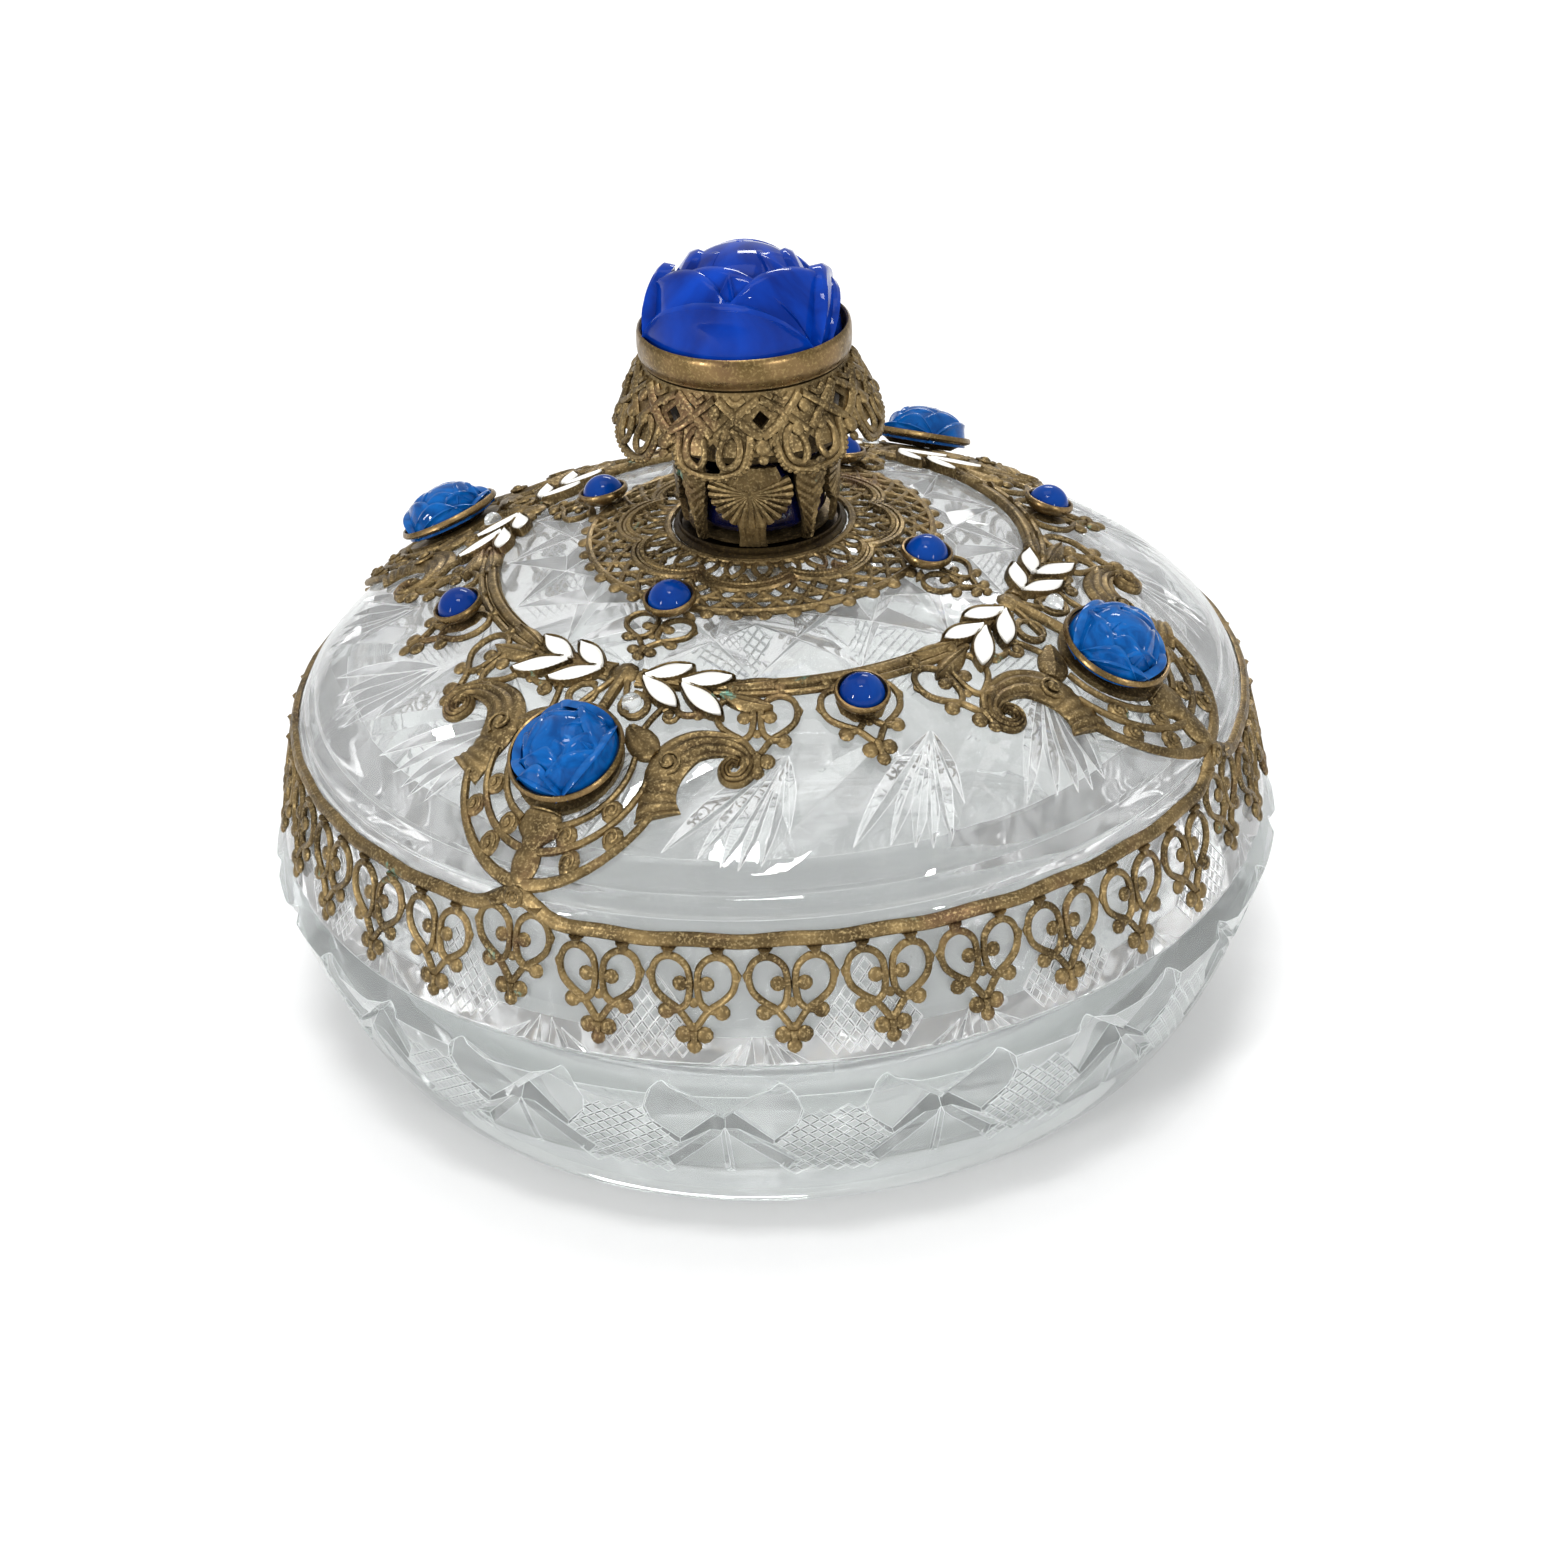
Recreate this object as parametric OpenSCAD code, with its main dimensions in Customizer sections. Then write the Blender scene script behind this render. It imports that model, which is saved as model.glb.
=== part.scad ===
// Round cut-glass dressing-table box: a cut bowl, a domed lid with a locating lip, and a
// pierced and cast brass overlay on the lid that holds carved blue stones and a tall knob.
// Units are millimetres. +Z is up and the origin is the middle of the bowl's flat base.
// Azimuths turn anticlockwise from above, and azimuth 0 faces -Y.

/* [Bowl] */
// Radius of the flat ground base
base_r = 51; // [48:0.5:52]
// Radius of the bowl just above the base
foot_r = 53; // [52.5:0.5:54]
// Radius of the thick band under the rim
belly_r = 66; // [65:0.1:67]
// Height of that widest band
belly_z = 25.2; // [24:0.1:26]
// Radius of the seam where lid and bowl meet
seam_r = 64.2; // [63.5:0.1:64.8]
// Height of the seam above the table
seam_z = 27.8; // [27:0.1:30]
// Radius of the bowl's mouth
mouth_r = 58.2; // [57.5:0.1:59]
// Thickness of the bowl's floor
floor_t = 7; // [5:0.5:9]
// Radius of the inside floor
floor_r = 44; // [38:0.5:48]

/* [Lid] */
// Radius of the lid's glass where the dome starts
lid_r = 60.8; // [60:0.1:61.2]
// Height from the seam to where the dome starts
skirt_h = 15.2; // [14:0.1:17]
// Height of the dome above that line
dome_h = 22.3; // [20:0.1:25]
// Fullness of the dome, where 2 is an ellipse and 1 a cone
dome_n = 1.68; // [1.6:0.01:1.8]
// Glass thickness at the lid's wall
lid_wall = 5.4; // [4.5:0.1:6]
// Glass thickness at the middle of the dome
crown_t = 4.8; // [4:0.1:6]
// Depth of the lip that drops into the mouth
lip_h = 3.2; // [2:0.1:5]
// Thickness of that lip
lip_t = 3.3; // [2.5:0.1:3.5]

/* [Glass cutting] */
// Number of repeats of the cut pattern round the box
repeats = 16; // [12:1:18]
// Azimuth of the first crossed cut
cross_az = -6.8; // [-12:0.1:12]
// Height of the middle of each crossed cut
cross_z = 20.3; // [19:0.1:21]
// Reach of a crossed cut's side facets from their crossing
facet_w = 9.4; // [8:0.1:9.8]
// Half angle that a side facet spans
facet_angle = 41; // [34:1:44]
// Depth of the crossed cuts at their middle
facet_depth = 2.1; // [1:0.1:2.6]
// Azimuth of the lid's first repeat
star_az = -2.8; // [-12:0.1:12]
// Plan radius where the star's rays end
star_r = 33.6; // [31:0.1:35]
// Depth of the star's rays at the rosette
star_depth = 1.3; // [0.5:0.1:1.8]
// Number of grooves in each swirled fan
fan_grooves = 6; // [2:1:7]
// Plan radius of the middle of the swirled fans
fan_r = 50; // [48:0.1:51]
// Slant of the swirled fans from the radial line
fan_slant = 42; // [20:1:55]
// Length of a fan's grooves
fan_len = 13; // [9:0.5:15]
// Depth of a fan's grooves
fan_depth = 0.6; // [0.3:0.05:0.9]
// Width of the arched facets at the foot of the lid
arch_w = 14.4; // [10:0.1:16]
// Height of those facets
arch_h = 4.4; // [3:0.1:6]
// Depth of those facets at the seam
arch_depth = 0.9; // [0.4:0.05:1.2]

/* [Brass sheet] */
// Thickness of the pierced sheet on the dome
sheet_t = 0.9; // [0.7:0.05:1.1]
// Gap between glass and brass
sheet_gap = 0.2; // [0.15:0.05:0.3]
// Gap between soldered brass pieces
solder_gap = 0.2; // [0.1:0.05:0.3]
// Width of the filigree's wires
wire_w = 0.9; // [0.7:0.05:1.1]
// Radius of the filigree's end balls
ball_r = 0.95; // [0.8:0.05:1]

/* [Fringe] */
// Number of hearts round the lid
hearts = 36; // [28:4:36]
// Height of the band that the hearts hang from
band_h = 1.9; // [1.6:0.1:2.4]
// Length of a heart below the band
heart_len = 12.1; // [11:0.1:12.5]
// How far the heart under each rose is raised
heart_lift = 2.3; // [1.6:0.1:2.6]

/* [Rose mounts] */
// Azimuth of the first rose
rose_az = -29.2; // [-45:0.1:0]
// Plan radius of a rose's mount
rose_r = 46.9; // [46:0.1:47.5]
// Radius of a rose's bezel
rose_bezel_r = 7; // [6.5:0.1:7.2]
// Height of a rose's bezel
rose_bezel_h = 4.1; // [3.5:0.1:5]
// Height of a rose stone above its bezel
rose_rise = 1.9; // [1:0.1:3]
// Radius of the inner rail of the basket
basket_in_r = 9.3; // [9:0.1:9.6]
// Radius of the outer rail of the basket
basket_out_r = 12.3; // [11.8:0.1:12.5]

/* [Ring and small stones] */
// Plan radius of the strap ring
ring_r = 34; // [33.5:0.1:34.5]
// Width of the strap ring
ring_w = 1.7; // [1.4:0.1:2]
// Plan radius of the outer round stones
outer_cab_r = 38.4; // [38:0.1:39.5]
// Plan radius of the inner round stones
inner_cab_r = 22.6; // [22:0.1:23.5]
// Diameter of a round stone
cab_d = 5.4; // [4.6:0.1:5.8]
// Height of a round stone's cup
cab_cup_h = 1.7; // [1.2:0.1:2.2]
// Thickness of a bezel's wall
bezel_t = 0.5; // [0.4:0.05:0.7]
// Gap between a stone and its bezel
stone_gap = 0.1; // [0.05:0.01:0.2]
// Diameter of a small crystal
crystal_d = 2.4; // [2:0.1:2.6]

/* [Rosette] */
// Outer radius of the rosette, without its lobes
rosette_r = 22; // [21.5:0.1:22.4]
// Number of lobes and holes round the rosette
rosette_lobes = 24; // [16:1:28]
// Reach of the rosette's raised, lobed ridge
ridge_r = 16.9; // [16:0.1:17.2]
// Number of lobes of that ridge
ridge_lobes = 8; // [7:1:10]

/* [Knob] */
// Radius of the collar on the dome
collar_r = 11; // [10.6:0.1:11.4]
// Height of the collar's rim above the top of the glass
collar_h = 1.8; // [1.4:0.1:2.4]
// Height of the cup of shell leaves
leaf_cup_h = 11; // [9:0.1:12]
// Radius of the cup of leaves at its rim
leaf_cup_r = 10.6; // [10:0.1:11.5]
// Number of leaves round the cup
leaves = 4; // [4:1:6]
// Diameter of the flat dark glass bead inside the cup
bead_d = 17; // [15:0.1:17.4]
// Height of that bead
bead_h = 8.4; // [7:0.1:9.5]
// Height of the tube between bead and bezel
stem_h = 11.3; // [10:0.1:12.5]
// Height of the openwork skirt
skirt_drop = 8.4; // [7:0.1:9]
// Radius of the skirt at its lower edge
skirt_r = 16.3; // [15:0.1:17]
// Number of lobes round the skirt
skirt_lobes = 12; // [8:1:14]
// Radius of the knob's bezel
knob_r = 13.4; // [12.5:0.1:14]
// Height of the knob's bezel wall
knob_bezel_h = 4; // [3:0.1:5]
// Height of the knob's rose above its bezel
knob_rise = 10; // [7:0.1:11]
// Diameter of the knob's bolt
bolt_d = 3; // [2.5:0.1:4]
// Gap all round the bolt
bolt_gap = 0.25; // [0.15:0.05:0.5]

/* [Hidden] */
$fn = 64;
clear = 0.15;                      // gap between stacked flat pieces
lip_gap = 0.5;                     // running gap between lip and mouth
edge = 0.7;                        // bevel at the seam
shoulder_r = seam_r + edge / 2;    // radius of bowl and lid where that bevel starts
roses = 4;                         // roses, straps, arms and round stones of each row
rose_step = 360 / roses;
dome_z = seam_z + skirt_h;         // height where the dome starts
sheet_top = sheet_gap + sheet_t;   // outer face of the sheet, above the glass
cup_floor = 0.6;                   // thickness of a bezel's or cup's floor
cup_base = sheet_top + clear + 0.1; // underside of a bezel, above the glass at its middle
steps = 12;                        // straight steps in the dome's profile
belly_swell = 0.55;                // exponent of the bowl's swelling side
apex_z = dome_z + dome_h;          // top of the glass
stem_end = lid_r - 0.4;            // plan radius where a rose mount's stem ends, above the band
junction_r = 1.9;                  // radius of the pad where the straps meet
strap_end = 3.6;                   // angle that a strap stops short of a junction
lobe_r = 1.5;                      // radius of the rosette's lobes
crystal_a = 5;                     // angle from a rose's azimuth to its crystal

brass = [0.45, 0.33, 0.16];
blue = [0.05, 0.12, 0.55];

// ---- Outlines in the plane ----

// A wire circle
module ring_2d(c, r, w = wire_w) translate(c) difference() {
    circle(r + w / 2);
    circle(r - w / 2);
}

// A straight wire from a to b
module bar_2d(a, b, w = wire_w)
    translate(a) rotate(atan2(b.y - a.y, b.x - a.x)) translate([0, -w / 2])
        square([norm(b - a), w]);

// A wire arc about c, from angle a0 to angle a1
module arc_2d(c, r, a0, a1, w = wire_w) intersection() {
    ring_2d(c, r, w);
    translate(c) polygon(concat([[0, 0]],
        [for (i = [0:4]) let (a = a0 + (a1 - a0) * i / 4) 2 * r * [cos(a), sin(a)]]));
}

// A pointed leaf centred on c, with its length along angle a
module leaf_2d(c, len, wid, a) {
    r = (len * len + wid * wid) / (4 * wid);
    translate(c) rotate(a) intersection() {
        translate([0, r - wid / 2]) circle(r);
        translate([0, wid / 2 - r]) circle(r);
    }
}

// The shapes given and the same shapes mirrored across the middle line
module both_sides() {
    children();
    mirror([1, 0]) children();
}

// ---- The dome and the skirt of the lid ----

// Height of the glass dome above its foot at plan radius r
function rise(r, big_r = lid_r, h = dome_h) = h * pow(1 - pow(r / big_r, dome_n), 1 / dome_n);

// Outward normal of the dome at plan radius r, as [radial, up]
function normal(r) = let (
    z = rise(r),
    g = [pow(r / lid_r, dome_n - 1) / lid_r, pow(z / dome_h, dome_n - 1) / dome_h])
    g / norm(g);

// Point d outside the glass dome at plan radius r, as [radius, height]
function dome(r, d = 0) = [r, dome_z + rise(r)] + d * normal(r);

// Plan radius of profile step i, close together where the dome is steep
function step_r(i, big_r = lid_r) = big_r * pow(cos(90 * i / steps), 2 / dome_n);

// Radius of the lid's skirt at height z
function skirt(z) = lid_r + (shoulder_r - lid_r) * (dome_z - z) / skirt_h;
skirt_lean = atan((shoulder_r - lid_r) / skirt_h);

// Puts things on the dome at an azimuth and plan radius: x runs round, -y outwards, z off the glass
module on_dome(az, r, d = 0)
    rotate(az) translate([0, -r, dome_z + rise(r)])
        rotate([atan2(normal(r).x, normal(r).y), 0, 0]) translate([0, 0, d]) children();

// Puts things on the skirt at an azimuth and height: x runs round, y up the glass, z off it
module on_skirt(az, z, d = 0)
    rotate(az) translate([0, -skirt(z), z]) rotate([90 - skirt_lean, 0, 0])
        translate([0, 0, d]) children();

// A skin over the dome between two distances from the glass
module dome_skin(d0, d1) rotate_extrude() polygon(concat(
    [for (i = [0:steps]) dome(step_r(i), d1)],
    [for (i = [steps:-1:0]) dome(step_r(i), d0)]));

// Sheet metal over the dome, cut to a plan outline with y outwards along the azimuth
module sheet(az, d0 = sheet_gap, d1 = sheet_top) intersection() {
    translate([0, 0, seam_z]) linear_extrude(dome_z + dome_h) rotate(az) mirror([0, 1]) children();
    dome_skin(d0, d1);
}

// ---- Glass ----

// Radius of the bowl's outside at height z
function bowl(z) = foot_r + (belly_r - foot_r) * pow(z / belly_z, belly_swell);

// Radius of the bowl's inside at share s of the way from floor to mouth
function hollow(s) = floor_r + (mouth_r - floor_r) * sqrt(s);

// Side facet of a crossed cut: a sector whose flat floor rises away from the crossing
module side_facet() {
    fall = facet_w * facet_w / (2 * bowl(cross_z));
    translate([0, 0, -facet_depth]) rotate([0, -atan((facet_depth - fall) / facet_w), 0])
        linear_extrude(belly_r / 8) intersection() {
            circle(facet_w);
            polygon([[0, 0], 2 * facet_w * [cos(facet_angle), sin(facet_angle)],
                     2 * facet_w * [cos(facet_angle), -sin(facet_angle)]]);
        }
}

module bowl_glass() color([0.80, 0.86, 0.85, 0.5]) {
    lean = atan((bowl(cross_z + 1) - bowl(cross_z - 1)) / 2);
    difference() {
        rotate_extrude() polygon(concat(
            [[0, 0], [base_r, 0]],
            [for (s = [0.02, 0.08, 0.18, 0.34, 0.55, 0.78, 1]) [bowl(s * belly_z), s * belly_z]],
            [[shoulder_r, seam_z - edge], [seam_r - edge / 2, seam_z], [mouth_r, seam_z]],
            [for (s = [0.75, 0.45, 0.2, 0.06]) [hollow(s), floor_t + s * (seam_z - floor_t)]],
            [[floor_r, floor_t], [0, floor_t]]));
        for (k = [0:repeats - 1]) rotate(cross_az + k * 360 / repeats)
            translate([0, -bowl(cross_z), cross_z]) rotate([90 + lean, 0, 0]) {
                side_facet();
                mirror([1, 0, 0]) side_facet();
            }
    }
}

// A V-shaped cut that runs along +y with its edge on the y axis
module mitre(len, slope) rotate([-90, 0, 0]) linear_extrude(len)
    polygon([[0, 0], [len, -len * slope], [-len, -len * slope]]);

// One ray of the star: it surfaces at its tip and is deepest under the rosette
module star_ray() {
    tip = dome(star_r);
    root = dome(rosette_r, -star_depth);
    translate([0, -tip.x, tip.y]) rotate([atan2(root.y - tip.y, tip.x - root.x), 0, 0])
        mitre(norm(tip - root), star_depth / (PI * rosette_r / repeats));
}

// One fan of slanting grooves, spread over half of a repeat
module swirl_fan(az) for (i = [0:fan_grooves - 1])
    on_dome(az + (i + 0.5) * 180 / repeats / fan_grooves, fan_r, -fan_depth)
        rotate(-fan_slant) translate([0, -fan_len / 2, 0]) mitre(fan_len, 0.9);

// An arched facet at the foot of the skirt
module skirt_arch(az) on_skirt(az, seam_z, -arch_depth)
    rotate([atan(arch_depth / arch_h), 0, 0]) cylinder(r = arch_w / 2, h = lid_wall);

module lid_glass() color([0.88, 0.93, 0.93, 0.45]) {
    in_r = lid_r - lid_wall;
    in_h = dome_h - crown_t;
    foot = seam_z + clear;
    lip_r = hollow((seam_z - lip_h - floor_t) / (seam_z - floor_t)) - lip_gap;
    difference() {
        rotate_extrude() polygon(concat(
            [for (i = [steps:-1:0]) dome(step_r(i))],
            [[skirt(foot + edge), foot + edge], [seam_r - edge / 2, foot], [lip_r, foot],
             [lip_r, seam_z - lip_h + edge], [lip_r - edge, seam_z - lip_h],
             [lip_r - lip_t, seam_z - lip_h]],
            [for (i = [0:steps]) let (r = step_r(i, in_r)) [r, dome_z + rise(r, in_r, in_h)]]));
        translate([0, 0, dome_z]) cylinder(d = bolt_d + 2 * bolt_gap, h = 2 * dome_h);
        for (k = [0:repeats - 1]) {
            az = star_az + k * 360 / repeats;
            rotate(az) star_ray();
            swirl_fan(az);
            skirt_arch(az);
        }
    }
}

// ---- Fringe ----

// One hanging heart, with y = 0 at the lower edge of the band
module heart_2d() scale(heart_len / 12.1) {
    both_sides() {
        ring_2d([2.65, -2.5], 2.0);
        bar_2d([4.6, -3.2], [1.7, -6.9]);
        bar_2d([0.7, -3.2], [0.6, -6.4]);
        bar_2d([1.9, -6.6], [0.2, -9.4]);
        translate([3, -7]) circle(ball_r);
        translate([1.5, -3.9]) circle(ball_r);
        translate([1.05, -9.8]) circle(ball_r);
        bar_2d([2.4, -0.9], [2.4, band_h / 3], 1.3);
    }
    bar_2d([0, -6.2], [0, -7], 1.9);
    bar_2d([0, -9], [0, -11.3], 1.3);
    translate([0, -11.3]) circle(0.8);
}

// The strip with its hearts, lifted to meet each rose's stem
module fringe() color(brass) {
    foot = dome_z - 0.4 * band_h;
    in_r = skirt(foot) + sheet_gap;
    gap_a = 5.2;
    for (k = [0:roses - 1]) rotate(rose_az + k * rose_step) {
        rotate_extrude(angle = rose_step - 2 * gap_a, start = gap_a - 90)
            translate([in_r, foot]) square([sheet_t, band_h]);
        translate([0, -in_r, foot + band_h / 2]) rotate([90, 0, 0]) linear_extrude(sheet_t)
            both_sides() {
                bar_2d([in_r * sin(gap_a + 0.4), 0], [1.4, heart_lift], band_h);
                bar_2d([1.8, heart_lift], [0, heart_lift], band_h);
            }
    }
    for (k = [0:hearts - 1]) {
        lift = k % (hearts / roses) == 0 ? heart_lift : 0;
        on_skirt(rose_az + k * 360 / hearts, foot + lift, sheet_gap)
            linear_extrude(sheet_t) heart_2d();
    }
}

// ---- Rose mounts ----

// A horn of plenty beside the basket: a crescent that ends in a scroll
module horn_2d() {
    difference() {
        translate([14.5, rose_r - 1.4]) circle(6.6);
        translate([16.4, rose_r + 0.2]) circle(5.1);
    }
    ring_2d([19.4, rose_r - 5.6], 1.6);
}

// Basket, horns and scrolls round one rose, with y as the plan radius
module rose_mount_2d() {
    m = [0, rose_r];
    translate(m) circle(rose_bezel_r - bezel_t);
    arc_2d(m, basket_in_r, -12, 192);
    arc_2d(m, basket_out_r, -6, 186, wire_w * 1.2);
    for (a = [8, 42, 66, 114, 138, 172])
        translate(m + (basket_in_r + basket_out_r) / 2 * [cos(a), sin(a)]) circle(1.3);
    for (a = [-4, 30, 60, 120, 150, 184])
        translate(m + (basket_in_r + rose_bezel_r - bezel_t) / 2 * [cos(a), sin(a)]) circle(1.4);
    polygon([[-1.4, rose_r + rose_bezel_r - 1], [1.4, rose_r + rose_bezel_r - 1],
             [2.3, stem_end], [-2.3, stem_end]]);
    both_sides() {
        horn_2d();
        ring_2d([2.9, rose_r - rose_bezel_r - 1.8], 1.9);
        bar_2d([8.6, rose_r - 3.4], [5.6, rose_r - 3.4], 1.4);
    }
    bar_2d([0, ring_r], [0, rose_r - rose_bezel_r + 1], 1.5);
    translate([0, ring_r]) circle(junction_r);
}

module rose_mount(k) color(brass) sheet(rose_az + (k - 1) * rose_step) rose_mount_2d();

// A round cup with a flat floor, standing on z = 0
module cup(r, h) difference() {
    cylinder(r = r, h = h);
    translate([0, 0, cup_floor]) cylinder(r = r - bezel_t, h = h);
}

module rose_bezel(k) color(brass)
    on_dome(rose_az + (k - 1) * rose_step, rose_r, cup_base) cup(rose_bezel_r, rose_bezel_h);

// Petals of a carved rose, from the outside in: [number, reach, height, turn]
petals = [[5, 1.08, 0.66, 0], [5, 0.80, 0.80, 36], [4, 0.58, 0.91, 10], [3, 0.37, 0.98, 50],
          [2, 0.18, 1.0, 20]];

// How far a row of petals reaches at angle a, as a share of the stone's radius
function reach(p, a) = p[1] * (1 - 0.09 * (1 - cos(p[0] * (a - p[3]))));

// Height of the carved rose at share s of its radius and angle a, as a share of its height
function petal_z(s, a, i = 4) = i == 0 || s < reach(petals[i], a)
    ? petals[i][2] - 0.22 * (reach(petals[i], a) - s) : petal_z(s, a, i - 1);

// A carved rose stone, standing on z = 0
module rose(r, h, side) {
    n = 40;
    shares = [0.1, 0.2, 0.32, 0.42, 0.54, 0.64, 0.75, 0.86, 0.95, 1];
    m = len(shares);
    ring = function (s, edge_z) [for (j = [0:n - 1]) let (a = 360 * j / n)
        [r * s * cos(a), r * s * sin(a), edge_z < 0 ? h * petal_z(s, a) : edge_z]];
    points = concat([[0, 0, 0]], ring(1, 0), ring(1, side),
        [for (i = [m - 2:-1:0]) each ring(shares[i], -1)], [[0, 0, h * petal_z(0, 0)]]);
    last = len(points) - 1;
    polyhedron(points, concat(
        [for (j = [0:n - 1]) [0, 1 + j, 1 + (j + 1) % n]],
        [for (i = [0:m - 1], j = [0:n - 1]) let (a = 1 + i * n, k = (j + 1) % n)
            each [[a + j, a + n + j, a + n + k], [a + j, a + n + k, a + k]]],
        [for (j = [0:n - 1]) [last, last - n + (j + 1) % n, last - n + j]]));
}

module rose_stone(k) color(blue)
    on_dome(rose_az + (k - 1) * rose_step, rose_r, cup_base + cup_floor + clear) {
        wall = rose_bezel_h - cup_floor - clear;
        rose(rose_bezel_r - bezel_t - stone_gap, wall + rose_rise, wall);
    }

// ---- Ring and small stones ----

module strap(k) color(brass) sheet(rose_az + (k - 1) * rose_step)
    arc_2d([0, 0], ring_r, 90 - strap_end, 90 - rose_step + strap_end, ring_w);

// The hearts between two roses, with y as the plan radius
module heart_plate_2d() {
    spine = ring_r + ring_w / 2 + solder_gap + wire_w / 2;
    pad_r = cab_d / 2 + 0.6;
    arc_2d([0, 0], spine, 68, 112);
    translate([0, outer_cab_r]) circle(pad_r);
    bar_2d([0, spine], [0, outer_cab_r], 0.9 * pad_r);
    both_sides() {
        ring_2d([3.9, outer_cab_r + 0.4], 2.2);
        bar_2d([5.4, outer_cab_r + 2], [0.6, outer_cab_r + 6.2]);
        translate([3.2, outer_cab_r + 4.4]) circle(ball_r);
        translate([1.1, outer_cab_r + 6.6]) circle(ball_r);
        ring_2d([9.2, spine + 1.2], 1.9);
        ring_2d([12.9, spine], 1.9);
        bar_2d([8.1, spine + 2.7], [12.2, spine + 6.6]);
        bar_2d([14.4, spine + 1], [12.6, spine + 6.6]);
        translate([11.9, spine + 6.9]) circle(ball_r * 1.3);
    }
    translate([0, outer_cab_r + 8]) circle(ball_r);
}

module heart_plate(k) color(brass)
    sheet(rose_az + (k - 0.5) * rose_step) heart_plate_2d();

cab_cup_r = cab_d / 2 + stone_gap + bezel_t;

module cab_cup(az, r) color(brass) on_dome(az, r, cup_base) cup(cab_cup_r, cab_cup_h);

// A round stone with a domed top
module cab_stone(az, r) color(blue)
    on_dome(az, r, cup_base + cup_floor + clear) rotate_extrude() intersection() {
        square([cab_d / 2, cab_d]);
        translate([0, -cab_d / 5]) circle(0.7 * cab_d);
    }

module outer_cup(k) cab_cup(rose_az + (k - 0.5) * rose_step, outer_cab_r);
module outer_stone(k) cab_stone(rose_az + (k - 0.5) * rose_step, outer_cab_r);
module inner_cup(k) cab_cup(rose_az + (k - 1) * rose_step, inner_cab_r);
module inner_stone(k) cab_stone(rose_az + (k - 1) * rose_step, inner_cab_r);

// The heart between rosette and strap ring, with y as the plan radius
module inner_arm_2d() {
    in = rosette_r + lobe_r + solder_gap;
    out = ring_r - junction_r - solder_gap;
    bar_2d([0, in], [0, out], 1.3);
    both_sides() {
        ring_2d([2.5, in + 2.7], 2.1);
        bar_2d([4.2, in + 3.9], [0, out - 0.5]);
        translate([2.9, in + 6]) circle(ball_r);
    }
}

module inner_arm(k) color(brass) sheet(rose_az + (k - 1) * rose_step) inner_arm_2d();

// White leaves that lie across the strap ring on both sides of each rose
module enamel_leaves() color("white") for (k = [0:roses - 1])
    sheet(rose_az + k * rose_step, sheet_top + clear, sheet_top + clear + 0.5) both_sides() {
        leaf_2d([5.6, ring_r - 0.6], 5, 1.6, -30);
        leaf_2d([6, ring_r + 2.2], 5, 1.6, 24);
        leaf_2d([10.3, ring_r - 1.4], 5.2, 1.6, -28);
        leaf_2d([11.2, ring_r + 1.4], 5.6, 1.7, 20);
    }

module crystals() color("white") for (k = [0:roses - 1]) rotate(k * rose_step)
    rotate(rose_az) rotate(crystal_a)
        on_dome(0, rose_r - rose_bezel_r - 1.6, sheet_top + clear) difference() {
            sphere(d = crystal_d);
            translate([0, 0, -crystal_d]) cube(2 * crystal_d, center = true);
        }

// A disc with rounded lobes that reach out to radius r
module lobes_2d(r) {
    centre_r = 0.59 * ridge_r;
    circle(centre_r);
    for (k = [0:ridge_lobes - 1]) rotate((k + 0.5) * 360 / ridge_lobes)
        translate([centre_r, 0]) circle(r - centre_r);
}

// Pierced disc with a lobed edge and a raised, lobed ridge
module rosette() color(brass) {
    sheet(0) difference() {
        union() {
            circle(rosette_r);
            for (k = [0:rosette_lobes - 1]) rotate(k * 360 / rosette_lobes)
                translate([rosette_r, 0]) circle(lobe_r);
        }
        circle(collar_r + solder_gap + 0.1);
        for (k = [0:rosette_lobes - 1]) rotate((k + 0.5) * 360 / rosette_lobes) {
            translate([(ridge_r + rosette_r) / 2 + 0.6, 0]) circle(1.5, $fn = 3);
            translate([(collar_r + ridge_r) / 2 - 0.6, 0]) circle(0.8, $fn = 4);
        }
    }
    sheet(0, sheet_top - 0.2, sheet_top + 0.5) difference() {
        lobes_2d(ridge_r);
        lobes_2d(ridge_r - wire_w);
    }
}

// ---- Knob, from the glass up ----

collar_top = apex_z + collar_h;
collar_rim = 0.9;
cup_z = collar_top - 1 + clear;
leaf_foot_r = collar_r - collar_rim - clear;
bead_z = cup_z + cup_floor + clear;
stem_z = bead_z + bead_h + clear;
plate_z = stem_z + stem_h + clear;
plate_t = 0.8;
knob_z = plate_z + plate_t + clear;
head_z = knob_z + cup_floor + clear;
head_h = 0.8;
rose_z = head_z + head_h + clear;
rose_top = knob_z + knob_bezel_h + knob_rise;
bore_d = bolt_d + 2 * bolt_gap;
washer_r = 6;
washer_t = 1;
washer_z = dome_z + rise(washer_r, lid_r - lid_wall, dome_h - crown_t) - clear - washer_t;
nut_h = 2.4;

// The hole that the bolt passes through
module bore() cylinder(d = bore_d, h = 2 * rose_top, center = true);

// A shallow dish that follows the dome underneath
module knob_collar() color(brass) difference() {
    rotate_extrude() polygon([[0, apex_z + sheet_gap], dome(collar_r / 2, sheet_gap),
        dome(collar_r, sheet_gap), [collar_r, collar_top], [collar_r - collar_rim, collar_top],
        [collar_r - collar_rim, collar_top - 1], [0, collar_top - 1]]);
    bore();
}

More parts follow.
